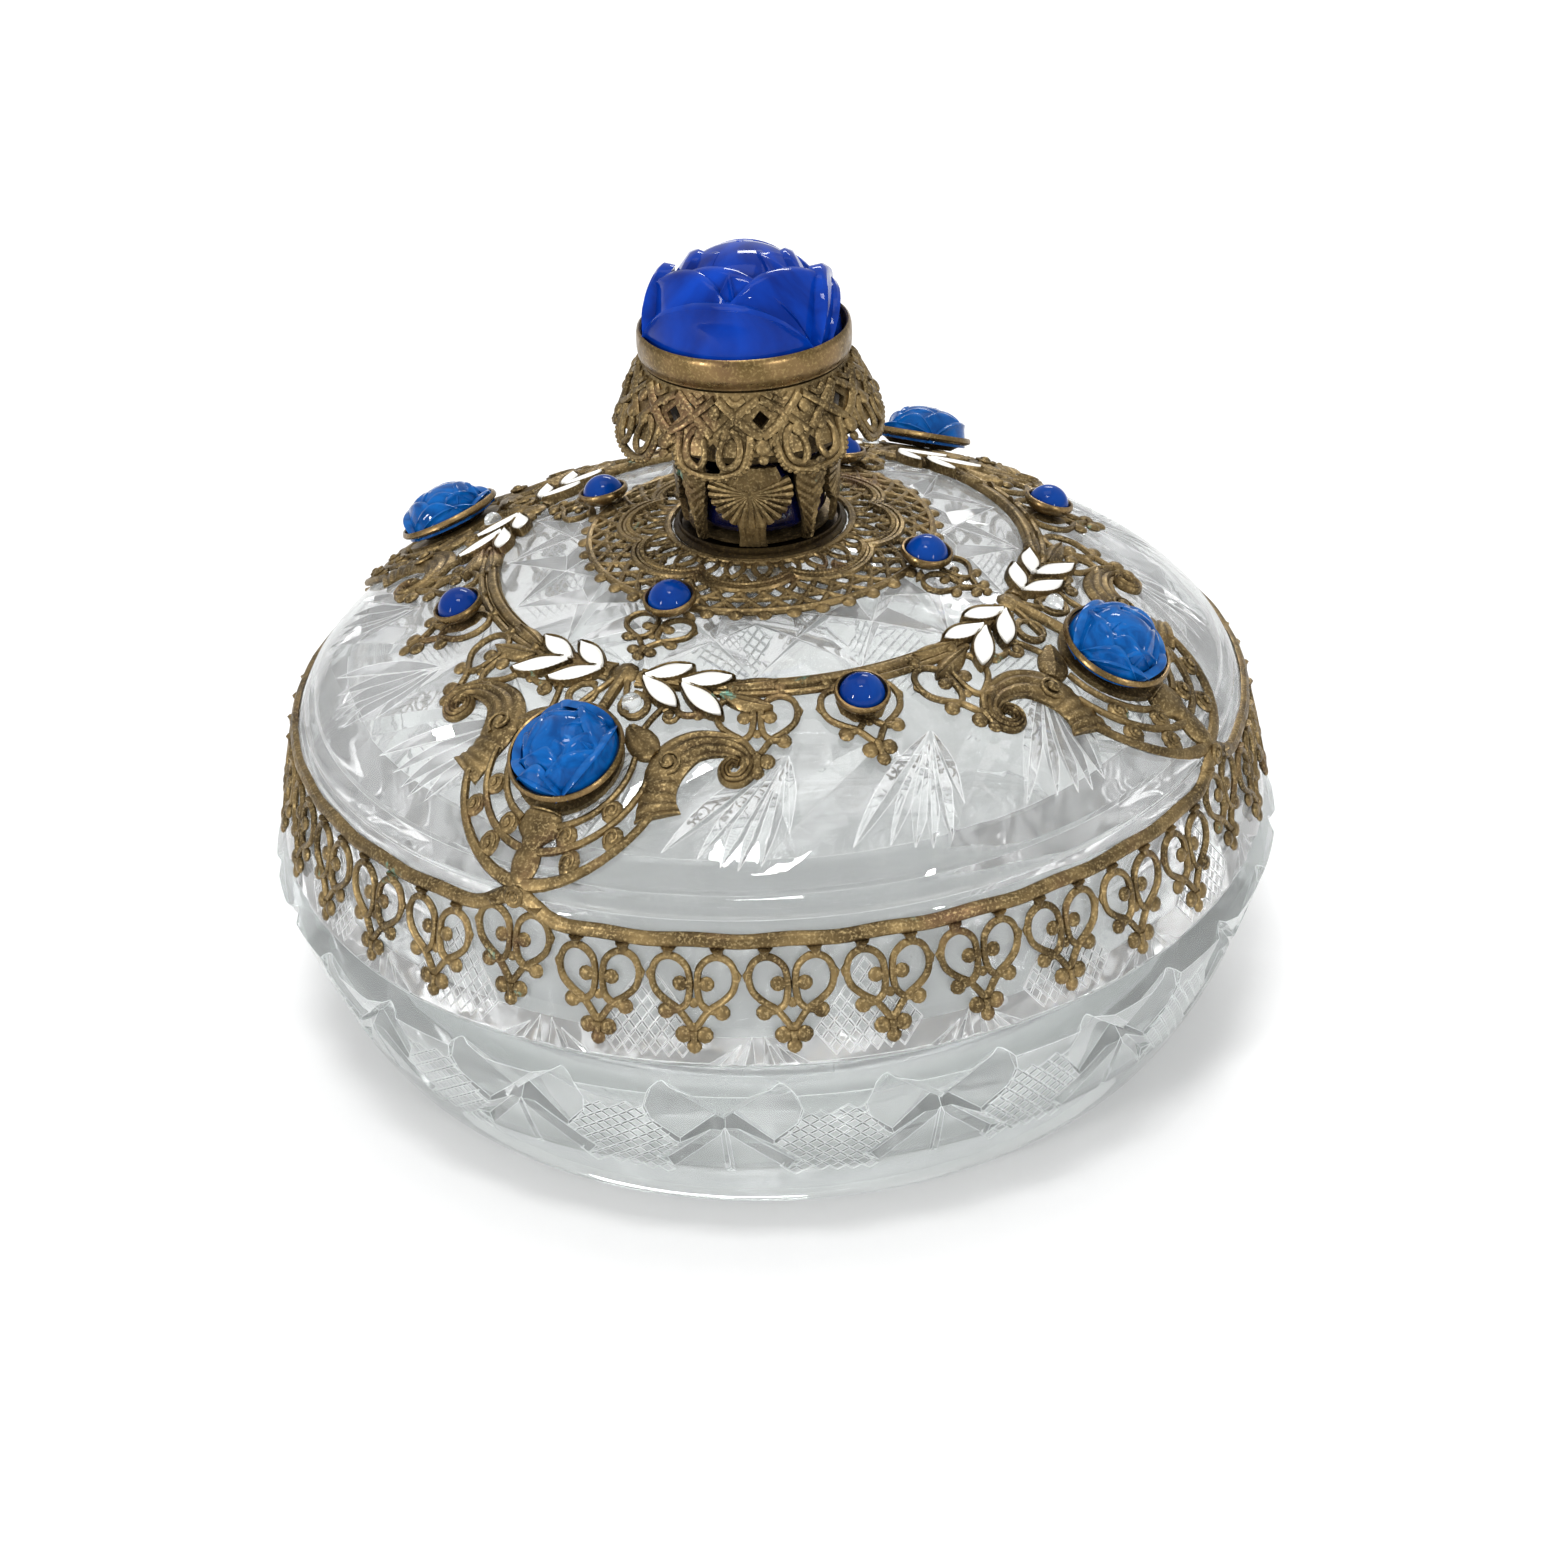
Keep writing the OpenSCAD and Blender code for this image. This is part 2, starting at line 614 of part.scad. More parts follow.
// Shell leaves that stand up round the bead, wide at the top and narrow at the foot
module leaf_cup() color(brass) difference() {
    pitch = 2 * PI * leaf_foot_r / leaves;
    translate([0, 0, cup_z]) rotate_extrude() polygon([[0, 0], [leaf_foot_r, 0],
        [leaf_cup_r, leaf_cup_h], [leaf_cup_r - sheet_t, leaf_cup_h],
        [leaf_foot_r - sheet_t, cup_floor], [0, cup_floor]]);
    for (k = [0:leaves - 1]) rotate(rose_az + k * 360 / leaves) translate([0, 0, cup_z])
        rotate([90, 0, 0]) linear_extrude(2 * leaf_cup_r) polygon([[-0.34 * pitch, cup_floor + 0.4],
            [0.34 * pitch, cup_floor + 0.4], [0.1 * pitch, leaf_cup_h + 1],
            [-0.1 * pitch, leaf_cup_h + 1]]);
    bore();
}

// Flat bead with a rounded rim
module knob_bead() color([0.05, 0.06, 0.2]) difference() {
    round_r = bead_h / 2;
    translate([0, 0, bead_z + round_r]) rotate_extrude() {
        translate([bead_d / 2 - round_r, 0]) intersection() {
            circle(round_r);
            translate([0, -round_r]) square([round_r, 2 * round_r]);
        }
        translate([0, -round_r]) square([bead_d / 2 - round_r, 2 * round_r]);
    }
    bore();
}

module knob_stem() color(brass) difference() {
    translate([0, 0, stem_z]) cylinder(d = bolt_d + 3, h = stem_h);
    bore();
}

// Flat plate with a flared, pierced skirt that ends in hanging loops
module knob_skirt() color(brass) {
    top_r = knob_r - 0.8;
    low_z = plate_z + plate_t - skirt_drop;
    difference() {
        rotate_extrude() polygon([[0, plate_z], [top_r - sheet_t, plate_z],
            [skirt_r - sheet_t, low_z + 2], [skirt_r, low_z + 2], [top_r, plate_z + plate_t],
            [0, plate_z + plate_t]]);
        for (k = [0:skirt_lobes - 1], row = [0, 1]) rotate((k + row / 2) * 360 / skirt_lobes)
            translate([0, 0, plate_z - 1.7 - 2.4 * row]) rotate([90, 0, 0])
                cylinder(r = 1, h = 2 * skirt_r, $fn = 4);
        bore();
    }
    for (k = [0:skirt_lobes - 1]) rotate(k * 360 / skirt_lobes)
        translate([0, -skirt_r + 0.1, low_z + 2]) rotate([90, 0, 0])
            linear_extrude(sheet_t + 0.6) ring_2d([0, -0.4], 2.1, 1.2);
}

module knob_bezel() color(brass) difference() {
    translate([0, 0, knob_z]) cup(knob_r, knob_bezel_h);
    bore();
}

module knob_rose() color(blue) translate([0, 0, rose_z])
    rose(knob_r - bezel_t - stone_gap, rose_top - rose_z, 0.55 * (rose_top - rose_z));

module knob_bolt() color(brass) {
    translate([0, 0, washer_z - nut_h - 1]) cylinder(d = bolt_d, h = head_z - washer_z + nut_h + 1);
    translate([0, 0, head_z]) cylinder(d = 2 * bolt_d, h = head_h);
}

module knob_washer() color([0.7, 0.7, 0.7]) difference() {
    translate([0, 0, washer_z]) cylinder(r = washer_r, h = washer_t);
    bore();
}

module knob_nut() color(brass) difference() {
    translate([0, 0, washer_z - clear - nut_h]) cylinder(d = 2.4 * bolt_d, h = nut_h, $fn = 6);
    cylinder(d = bolt_d + 0.2, h = 2 * apex_z);
}

bowl_glass();  // bowl
lid_glass();
fringe();
for (k = [1:roses]) {
    rose_mount(k);
    rose_bezel(k);
    rose_stone(k);
    strap(k);
    heart_plate(k);
    outer_cup(k);
    outer_stone(k);
    inner_arm(k);
    inner_cup(k);
    inner_stone(k);
}
enamel_leaves();
crystals();
rosette();
knob_collar();
leaf_cup();
knob_bead();
knob_stem();
knob_skirt();
knob_bezel();
knob_rose();
knob_bolt();
knob_washer();
knob_nut();
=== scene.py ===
"""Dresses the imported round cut-glass box: cut glass, aged brass overlay, carved blue stones and enamel.

Pieces are modelled in millimetres in the frame of the CAD model and then brought down to metres. Azimuths
turn anticlockwise from above, and azimuth 0 faces -Y. Flat patterns are drawn with x across and y outwards
along an azimuth, and are then laid on the dome or on the lid's skirt.
"""

import logging
import math
from collections.abc import Callable, Iterable, Sequence
from dataclasses import dataclass
from enum import Enum

import bpy
from mathutils import Matrix, Vector


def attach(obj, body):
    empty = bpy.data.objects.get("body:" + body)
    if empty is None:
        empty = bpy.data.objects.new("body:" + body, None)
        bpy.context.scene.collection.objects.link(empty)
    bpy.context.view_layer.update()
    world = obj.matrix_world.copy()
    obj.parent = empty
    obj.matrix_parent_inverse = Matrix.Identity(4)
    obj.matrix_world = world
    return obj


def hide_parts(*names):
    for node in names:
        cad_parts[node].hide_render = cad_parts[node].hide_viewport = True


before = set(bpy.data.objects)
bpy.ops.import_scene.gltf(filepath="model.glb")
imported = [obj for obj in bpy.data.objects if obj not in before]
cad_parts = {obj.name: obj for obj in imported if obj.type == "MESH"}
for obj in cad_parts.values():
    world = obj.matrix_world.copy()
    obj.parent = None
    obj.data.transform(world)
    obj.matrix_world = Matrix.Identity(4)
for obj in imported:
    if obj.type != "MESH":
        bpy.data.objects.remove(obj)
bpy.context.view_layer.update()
LOG = logging.getLogger("dressing")
MM = 0.001
Point = tuple[float, float]
Shape = bpy.types.Object


# ---- Sizes that several pieces share ----


@dataclass(frozen=True)
class BoxSizes:
    """The driving sizes of the box in millimetres, as the CAD source has them."""

    base_r: float = 51.0
    foot_r: float = 53.0
    belly_r: float = 66.0
    belly_z: float = 25.2
    belly_swell: float = 0.55
    seam_r: float = 64.2
    seam_z: float = 27.8
    edge: float = 0.7
    mouth_r: float = 58.2
    floor_t: float = 7.0
    floor_r: float = 44.0
    lid_r: float = 60.8
    skirt_h: float = 15.2
    dome_h: float = 22.3
    dome_n: float = 1.68
    lid_wall: float = 5.4
    crown_t: float = 4.8
    lip_h: float = 3.2
    lip_t: float = 3.3
    lip_gap: float = 0.5
    repeats: int = 16
    cross_az: float = -6.8
    cross_z: float = 20.3
    star_az: float = -2.8
    rose_az: float = -29.2
    roses: int = 4

    @property
    def dome_z(self) -> float:
        """Height where the lid's dome starts."""
        return self.seam_z + self.skirt_h

    @property
    def step(self) -> float:
        """Angle between two repeats of the cuts, in degrees."""
        return 360 / self.repeats

    @property
    def quarter(self) -> float:
        """Angle between two of the roses, in degrees."""
        return 360 / self.roses

    def rise(self, r: float, big_r: float | None = None, h: float | None = None) -> float:
        """Height of the dome above its foot.

        Args:
            r: Plan radius.
            big_r: Radius of the dome's foot, the glass's own if None.
            h: Height of the dome, the glass's own if None.

        Returns:
            The height in millimetres.
        """
        big_r, h = big_r or self.lid_r, h or self.dome_h
        return h * max(0.0, 1 - (min(r, big_r) / big_r) ** self.dome_n) ** (1 / self.dome_n)

    def normal(self, r: float) -> Point:
        """Outward normal of the dome at plan radius r, as (radial, up).

        Args:
            r: Plan radius.

        Returns:
            The normal as (radial, up).
        """
        z = self.rise(r)
        gr = (min(r, self.lid_r) / self.lid_r) ** (self.dome_n - 1) / self.lid_r
        gz = (z / self.dome_h) ** (self.dome_n - 1) / self.dome_h
        size = math.hypot(gr, gz)
        return gr / size, gz / size

    def bowl(self, z: float) -> float:
        """Radius of the bowl's outside at height z."""
        return self.foot_r + (self.belly_r - self.foot_r) * (max(z, 0) / self.belly_z) ** self.belly_swell

    def hollow(self, s: float) -> float:
        """Radius of the bowl's inside at share s of the way from floor to mouth."""
        return self.floor_r + (self.mouth_r - self.floor_r) * math.sqrt(s)

    def skirt(self, z: float) -> float:
        """Radius of the lid's skirt at height z."""
        shoulder = self.seam_r + self.edge / 2
        return self.lid_r + (shoulder - self.lid_r) * (self.dome_z - z) / self.skirt_h


BOX = BoxSizes()


# ---- The bench: tools that act on pieces being made ----


def clear_bench() -> None:
    """Leaves nothing selected and Blender in object mode."""
    if bpy.context.object and bpy.context.object.mode != "OBJECT":
        bpy.ops.object.mode_set(mode="OBJECT")
    bpy.ops.object.select_all(action="DESELECT")


def pick(*pieces: Shape) -> None:
    """Selects the pieces alone and makes the first one active."""
    clear_bench()
    for piece in pieces:
        piece.select_set(True)
    bpy.context.view_layer.objects.active = pieces[0]


def put(name: str, data: bpy.types.ID) -> Shape:
    """Puts a new object with that mesh, curve, light or camera into the scene.

    Args:
        name: Name of the new object.
        data: Its mesh, curve, light or camera.

    Returns:
        The new object.
    """
    piece = bpy.data.objects.new(name, data)
    bpy.context.scene.collection.objects.link(piece)
    return piece


def applied() -> Shape:
    """The primitive that was just added, with its place and size applied to its mesh."""
    bpy.ops.object.transform_apply(location=True, rotation=True, scale=True)
    return bpy.context.view_layer.objects.active


def dropped(*pieces: Shape) -> None:
    """Deletes pieces that have been copied or cut with, and so are used up."""
    for piece in pieces:
        bpy.data.objects.remove(piece)


def mesh_piece(name: str, points: Iterable[Sequence[float]], faces: Iterable[Sequence[int]] = (),
               edges: Iterable[Sequence[int]] = ()) -> Shape:
    """Makes a mesh object from points and the faces or edges between them.

    Args:
        name: Name of the new object.
        points: Places of the points in millimetres.
        faces: Corner numbers of each face.
        edges: End numbers of each edge.

    Returns:
        The new object.
    """
    mesh = bpy.data.meshes.new(name)
    mesh.from_pydata([tuple(p) for p in points], [tuple(e) for e in edges], [tuple(f) for f in faces])
    return put(name, mesh)


def joined(name: str, pieces: Sequence[Shape]) -> Shape:
    """Joins the pieces into one mesh object with that name.

    Args:
        name: Name of the joined object.
        pieces: What is joined.

    Returns:
        The joined object.
    """
    pick(*pieces)
    if len(pieces) > 1:
        bpy.ops.object.join()
    piece = bpy.context.view_layer.objects.active
    piece.name = piece.data.name = name
    return piece


def copied(piece: Shape) -> Shape:
    """A copy of a piece with its own mesh.

    Args:
        piece: What is copied.

    Returns:
        The copy.
    """
    twin = piece.copy()
    twin.data = piece.data.copy()
    bpy.context.scene.collection.objects.link(twin)
    return twin


def placed(piece: Shape, where: Callable[[Vector], Sequence[float]]) -> Shape:
    """Moves each point of a piece by a rule, such as laying a flat pattern on the dome.

    Args:
        piece: What is moved.
        where: Gives a point's new place.

    Returns:
        The same piece.
    """
    for v in piece.data.vertices:
        v.co = where(v.co)
    piece.data.update()
    return piece


def turned(piece: Shape, az: float) -> Shape:
    """Turns a piece's mesh about the box's axis by an azimuth in degrees."""
    piece.data.transform(Matrix.Rotation(math.radians(az), 4, "Z"))
    return piece


def spread(piece: Shape, count: int, step: float, start: float = 0.0) -> list[Shape]:
    """Copies of a piece turned about the box's axis. The piece itself is used up.

    Args:
        piece: What is repeated.
        count: Number of copies.
        step: Angle between them in degrees.
        start: Azimuth of the first.

    Returns:
        The copies.
    """
    copies = [turned(copied(piece), start + k * step) for k in range(count)]
    dropped(piece)
    return copies


def all_round(name: str, cut: Shape, start: float, every: int = 1) -> Shape:
    """One joined cutter with a cut at each repeat of the glass, or at every so many of them."""
    return joined(name, spread(cut, BOX.repeats // every, every * BOX.step, start))


def quarters(piece: Shape, start: float = BOX.rose_az) -> list[Shape]:
    """Copies of a piece at the four quarters of the overlay, from the azimuth of the first."""
    return spread(piece, BOX.roses, BOX.quarter, start)


def tidy_normals(piece: Shape, merge: float = 1e-4) -> Shape:
    """Merges a piece's doubles and turns its faces outwards.

    Args:
        piece: What is mended.
        merge: Points closer than this are merged.

    Returns:
        The same piece.
    """
    pick(piece)
    bpy.ops.object.mode_set(mode="EDIT")
    bpy.ops.mesh.select_all(action="SELECT")
    bpy.ops.mesh.remove_doubles(threshold=merge)
    bpy.ops.mesh.normals_make_consistent(inside=False)
    bpy.ops.object.mode_set(mode="OBJECT")
    return piece


def spun(name: str, outline: Sequence[Point], steps: int) -> Shape:
    """A closed body of revolution about the box's axis.

    Args:
        name: Name of the new object.
        outline: Closed outline as (radius, height), with its ends on the axis or joined.
        steps: Number of steps round.

    Returns:
        The new object.
    """
    ring = list(outline) if min(r for r, _ in outline) < 1e-6 else [*outline, outline[0]]
    piece = mesh_piece(name, [(r, 0, z) for r, z in ring], edges=[(i, i + 1) for i in range(len(ring) - 1)])
    pick(piece)
    bpy.ops.object.mode_set(mode="EDIT")
    bpy.ops.mesh.select_all(action="SELECT")
    bpy.ops.mesh.spin(steps=steps, angle=2 * math.pi, center=(0, 0, 0), axis=(0, 0, 1))
    bpy.ops.object.mode_set(mode="OBJECT")
    return tidy_normals(piece)


def carve(body: Shape, cutter: Shape) -> None:
    """Cuts a closed cutter out of a body and uses the cutter up.

    Laying a flat pattern on the dome can turn it inside out, so its normals are set first.

    Args:
        body: What is cut.
        cutter: What is cut out of it.
    """
    tidy_normals(cutter)
    cut = body.modifiers.new("cut", "BOOLEAN")
    cut.object, cut.operation, cut.solver = cutter, "DIFFERENCE", "MANIFOLD"
    pick(body)
    bpy.ops.object.modifier_apply(modifier=cut.name)
    dropped(cutter)


def without_chips(piece: Shape) -> Shape:
    """Keeps the largest part of a piece, and drops the loose chips that crossed cuts can leave.

    Args:
        piece: What has been cut.

    Returns:
        The part that is kept.
    """
    pick(piece)
    bpy.ops.mesh.separate(type="LOOSE")
    *chips, largest = sorted(bpy.context.selected_objects, key=lambda part: len(part.data.vertices))
    dropped(*chips)
    return largest


def tube(points: Sequence[Sequence[float]], radius: float, closed: bool = False, sides: int = 2,
         radii: Sequence[float] | None = None) -> Shape:
    """A round wire along a line of points, as a mesh.

    Args:
        points: Points of the wire's middle line, with two or three numbers each.
        radius: Radius of the wire.
        closed: Whether the wire's ends join.
        sides: Roundness of the wire, where 0 has four sides and 2 has eight.
        radii: Share of the radius at each point, for a wire that tapers.

    Returns:
        The new mesh object.
    """
    curve = bpy.data.curves.new("wire", "CURVE")
    curve.dimensions = "3D"
    line = curve.splines.new("POLY")
    line.points.add(len(points) - 1)
    for i, (spot, p) in enumerate(zip(line.points, points)):
        spot.co = (p[0], p[1], p[2] if len(p) > 2 else 0.0, 1.0)
        spot.radius = radii[i] if radii else 1.0
    line.use_cyclic_u = closed
    curve.bevel_depth, curve.bevel_resolution, curve.use_fill_caps = radius, sides, not closed
    pick(put("wire", curve))
    bpy.ops.object.convert(target="MESH")
    return bpy.context.view_layer.objects.active


def ball(centre: Sequence[float], radius: float, fine: int = 12, squash: float = 1.0) -> Shape:
    """A ball, flattened in height by squash.

    Args:
        centre: Its middle, with two or three numbers.
        radius: Its radius.
        fine: Number of its meridians.
        squash: Share of its height that is kept.

    Returns:
        The ball.
    """
    clear_bench()
    z = centre[2] if len(centre) > 2 else 0.0
    bpy.ops.mesh.primitive_uv_sphere_add(segments=fine, ring_count=max(6, fine * 2 // 3), radius=radius,
                                         location=(centre[0], centre[1], z), scale=(1, 1, squash))
    return applied()


def arc(centre: Point, radius: float, start: float, end: float, steps: int = 12) -> list[Point]:
    """Points along an arc from angle start to angle end, in degrees.

    Args:
        centre: Middle of its circle.
        radius: Radius of its circle.
        start: Angle of its start.
        end: Angle of its end.
        steps: Number of steps along it.

    Returns:
        The points.
    """
    return [(centre[0] + radius * math.cos(math.radians(start + (end - start) * i / steps)),
             centre[1] + radius * math.sin(math.radians(start + (end - start) * i / steps)))
            for i in range(steps + 1)]


def mirrored(piece: Shape) -> Shape:
    """A copy of a piece mirrored across the pattern's middle line, x = 0, facing outwards.

    Args:
        piece: Half of a pattern.

    Returns:
        The other half.
    """
    twin = copied(piece)
    twin.data.transform(Matrix.Scale(-1, 4, (1, 0, 0)))
    twin.data.flip_normals()
    return twin


def on_dome(az: float) -> Callable[[Vector], Vector]:
    """The rule that lays a flat pattern on the dome: x across, y outwards, z off the glass.

    Args:
        az: Azimuth of the pattern's middle line in degrees.

    Returns:
        The rule.
    """
    def rule(p: Vector) -> Vector:
        """Lays one point on the dome.

        Args:
            p: A point of the pattern.

        Returns:
            Its place on the dome.
        """
        r = math.hypot(p.x, p.y)
        nr, nz = BOX.normal(r)
        far = r + p.z * nr
        height = BOX.dome_z + BOX.rise(r) + p.z * nz
        around = math.atan2(p.x, p.y) + math.radians(az)
        return Vector((far * math.sin(around), -far * math.cos(around), height))
    return rule


def on_wall(az: float, z0: float, radius: Callable[[float], float]) -> Callable[[Vector], Vector]:
    """The rule that lays a flat pattern on a wall of revolution: x round, y up, z off the glass.

    Args:
        az: Azimuth of the pattern's middle line in degrees.
        z0: Height of the pattern's y = 0.
        radius: Radius of the wall at a height.

    Returns:
        The rule.
    """
    def rule(p: Vector) -> Vector:
        """Lays one point on the wall.

        Args:
            p: A point of the pattern.

        Returns:
            Its place on the wall.
        """
        z = z0 + p.y
        far = radius(z) + p.z
        around = p.x / radius(z0) + math.radians(az)
        return Vector((far * math.sin(around), -far * math.cos(around), z))
    return rule


def at_tangent(r: float, z: float, lean: float) -> Matrix:
    """The frame of a flat cut at azimuth 0: x round the box, y up the glass, z outwards, with its lean."""
    return Matrix.Translation((0, -r, z)) @ Matrix.Rotation(math.radians(90 + lean), 4, "X")


def dressed(name: str, parts: Sequence[Shape], look: "Look", nodes: Sequence[str], slot: str = "brass",
            smooth: float = 40.0, body: str = "lid") -> None:
    """Joins the parts of a piece, brings it down to metres, dresses it and ties it to the frame.

    Args:
        name: Name of the finished piece.
        parts: Its modelled parts, in millimetres.
        look: Its finish.
        nodes: The CAD nodes that it stands for.
        slot: The record's material slot; not used.
        smooth: Edges sharper than this angle in degrees stay sharp.
        body: The CAD body that it rides on.
    """
    piece = joined(name, parts)
    piece.data.transform(Matrix.Scale(MM, 4))
    pick(piece)
    bpy.ops.object.shade_smooth_by_angle(angle=math.radians(smooth))
    piece.data.materials.clear()
    piece.data.materials.append(look.value.made())
    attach(piece, body)
    if nodes:
        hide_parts(*nodes)
    LOG.info("%s: %d faces", piece.name, len(piece.data.polygons))


# ---- Finishes ----


def linear(code: str) -> tuple[float, float, float, float]:
    """Turns an sRGB hex colour into Blender's linear colour.

    Args:
        code: Six hex digits.

    Returns:
        Linear red, green and blue, and an alpha of one.
    """
    parts = [int(code[i:i + 2], 16) / 255 for i in (0, 2, 4)]
    r, g, b = (c / 12.92 if c <= 0.04045 else ((c + 0.055) / 1.055) ** 2.4 for c in parts)
    return r, g, b, 1.0


def add(tree: bpy.types.NodeTree, kind: str, links: dict | None = None, **settings: object) -> bpy.types.Node:
    """Adds one node to a tree.

    Args:
        tree: The material's or world's node tree.
        kind: The node's type name.
        links: For each input name or number, an output socket to link or a value to set.
        **settings: The node's own settings.

    Returns:
        The new node.
    """
    new = tree.nodes.new(kind)
    for key, value in settings.items():
        setattr(new, key, value)
    for key, value in (links or {}).items():
        if isinstance(value, bpy.types.NodeSocket):
            tree.links.new(value, new.inputs[key])
        else:
            new.inputs[key].default_value = value
    return new


def ramp(tree: bpy.types.NodeTree, value: bpy.types.NodeSocket,
         stops: Sequence[tuple[float, tuple]]) -> bpy.types.NodeSocket:
    """A colour ramp over a value, given as (place, colour) stops.

    Args:
        tree: The node tree.
        value: What the ramp reads.
        stops: Place and colour of each stop.

    Returns:
        The ramp's colour.
    """
    new = add(tree, "ShaderNodeValToRGB", {"Fac": value})
    marks = new.color_ramp.elements
    while len(marks) < len(stops):
        marks.new(0.5)
    for mark, (place, colour) in zip(marks, stops):
        mark.position, mark.color = place, colour
    return new.outputs["Color"]


GREY = {k: (k / 100, k / 100, k / 100, 1.0) for k in range(0, 101, 5)}


@dataclass(frozen=True)
class Finish:
    """A surface finish, made once and shared by the pieces that have it."""

    name: str

    def made(self) -> bpy.types.Material:
        """The Blender material of this finish.

        Returns:
            The material.
        """
        known = bpy.data.materials.get(self.name)
        if known:
            return known
        material = bpy.data.materials.new(self.name)
        material.use_nodes = True
        tree = material.node_tree
        tree.nodes.clear()
        out = add(tree, "ShaderNodeOutputMaterial")
        where = add(tree, "ShaderNodeTexCoord").outputs["Object"]
        surface = self.surface(tree, where)
        tree.links.new(surface, out.inputs["Surface"])
        self.inside(tree, out)
        return material

    def surface(self, tree: bpy.types.NodeTree, where: bpy.types.NodeSocket) -> bpy.types.NodeSocket:
        """Builds the finish's shader and returns its output.

        Args:
            tree: The material's node tree.
            where: Place on the piece, in metres.

        Returns:
            The shader's output.
        """
        raise NotImplementedError

    def inside(self, tree: bpy.types.NodeTree, out: bpy.types.Node) -> None:
        """Adds what light meets inside the piece, if anything."""


def grain(tree: bpy.types.NodeTree, where: bpy.types.NodeSocket, size: float, detail: float = 3.0,
          rough: float = 0.5) -> bpy.types.NodeSocket:
    """Noise whose blotches are about size millimetres across.

    Args:
        tree: The node tree.
        where: Place on the piece, in metres.
        size: Width of a blotch in millimetres.
        detail: Number of finer layers.
        rough: Strength of the finer layers.

    Returns:
        The noise, from 0 to 1.
    """
    return add(tree, "ShaderNodeTexNoise", {"Vector": where, "Scale": 1000 / (2 * size), "Detail": detail,
                                            "Roughness": rough}).outputs["Fac"]


def mixed(tree: bpy.types.NodeTree, share: bpy.types.NodeSocket | float, a: object,
          b: object) -> bpy.types.NodeSocket:
    """A colour mixed from a to b by a share.

    Args:
        tree: The node tree.
        share: Share of the second colour.
        a: The first colour.
        b: The second colour.

    Returns:
        The mixed colour.
    """
    return add(tree, "ShaderNodeMix", {0: share, 6: a, 7: b}, data_type="RGBA").outputs[2]


@dataclass(frozen=True)
class AgedBrass(Finish):
    """Stamped brass, dipped and left to age: dull brown gold with greener and redder places."""

    gold: str = "806C48"
    brown: str = "4E4029"
    ruddy: str = "624936"
    # Colour of the painted glints on single grains.
    painted_glint: str = "AC976C"
    # Colour of the painted shade in recesses.
    recess_shade: str = "2E2112"
    verdigris: str = "5E9A8A"
    verdigris_share: float = 0.02
    roughness: float = 0.45
    relief: float = 0.1

    def surface(self, tree: bpy.types.NodeTree, where: bpy.types.NodeSocket) -> bpy.types.NodeSocket:
        """Cloudy brass under a thin brown skin, with the sand texture that stamping and age leave.

        Args:
            tree: The material's node tree.
            where: Place on the piece, in metres.

        Returns:
            The shader's output.
        """
        # Age darkens brass in clouds a few millimetres across.
        clouds = ramp(tree, grain(tree, where, 2.2, 4.0, 0.6),
                      ((0.36, linear(self.brown)), (0.62, linear(self.gold))))
        # A reddish skin where the plating has gone.
        red = ramp(tree, grain(tree, where, 4.5, 2.0), ((0.60, GREY[0]), (0.72, GREY[70])))
        colour = mixed(tree, red, clouds, linear(self.ruddy))
        # Verdigris sits in small spots.
        spots = ramp(tree, grain(tree, where, 3.2, 5.0, 0.65),
                     ((0.70 - self.verdigris_share, GREY[0]), (0.76 - self.verdigris_share, GREY[80])))
        colour = mixed(tree, spots, colour, linear(self.verdigris))
        # Painted glints: single grains of the sandy skin are painted brighter, partly as rubbed grains and
        # partly as the glints they catch.
        glint_specks = ramp(tree, grain(tree, where, 0.16, 2.0), ((0.52, GREY[0]), (0.66, GREY[65])))
        colour = mixed(tree, glint_specks, colour, linear(self.painted_glint))
        # Painted shade: recesses are darkened towards a dark brown, as the shade that falls in them, and
        # pointed places keep the brass colour.
        sharpness = add(tree, "ShaderNodeNewGeometry").outputs["Pointiness"]
        colour = mixed(tree, ramp(tree, sharpness, ((0.44, GREY[75]), (0.52, GREY[0]))), colour,
                       linear(self.recess_shade))
        metal = ramp(tree, spots, ((0.0, GREY[90]), (1.0, GREY[10])))
        rough = ramp(tree, grain(tree, where, 0.6, 3.0),
                     ((0.3, (self.roughness - 0.1,) * 3 + (1,)), (0.7, (self.roughness + 0.18,) * 3 + (1,))))
        # The sandy skin has grains of about a quarter of a millimetre.
        bump = add(tree, "ShaderNodeBump", {"Height": grain(tree, where, 0.22, 2.0), "Strength": 0.35,
                                            "Distance": self.relief * MM})
        brass = add(tree, "ShaderNodeBsdfPrincipled", {"Base Color": colour, "Metallic": metal,
                                                       "Roughness": rough, "Normal": bump.outputs[0]})
        return brass.outputs[0]


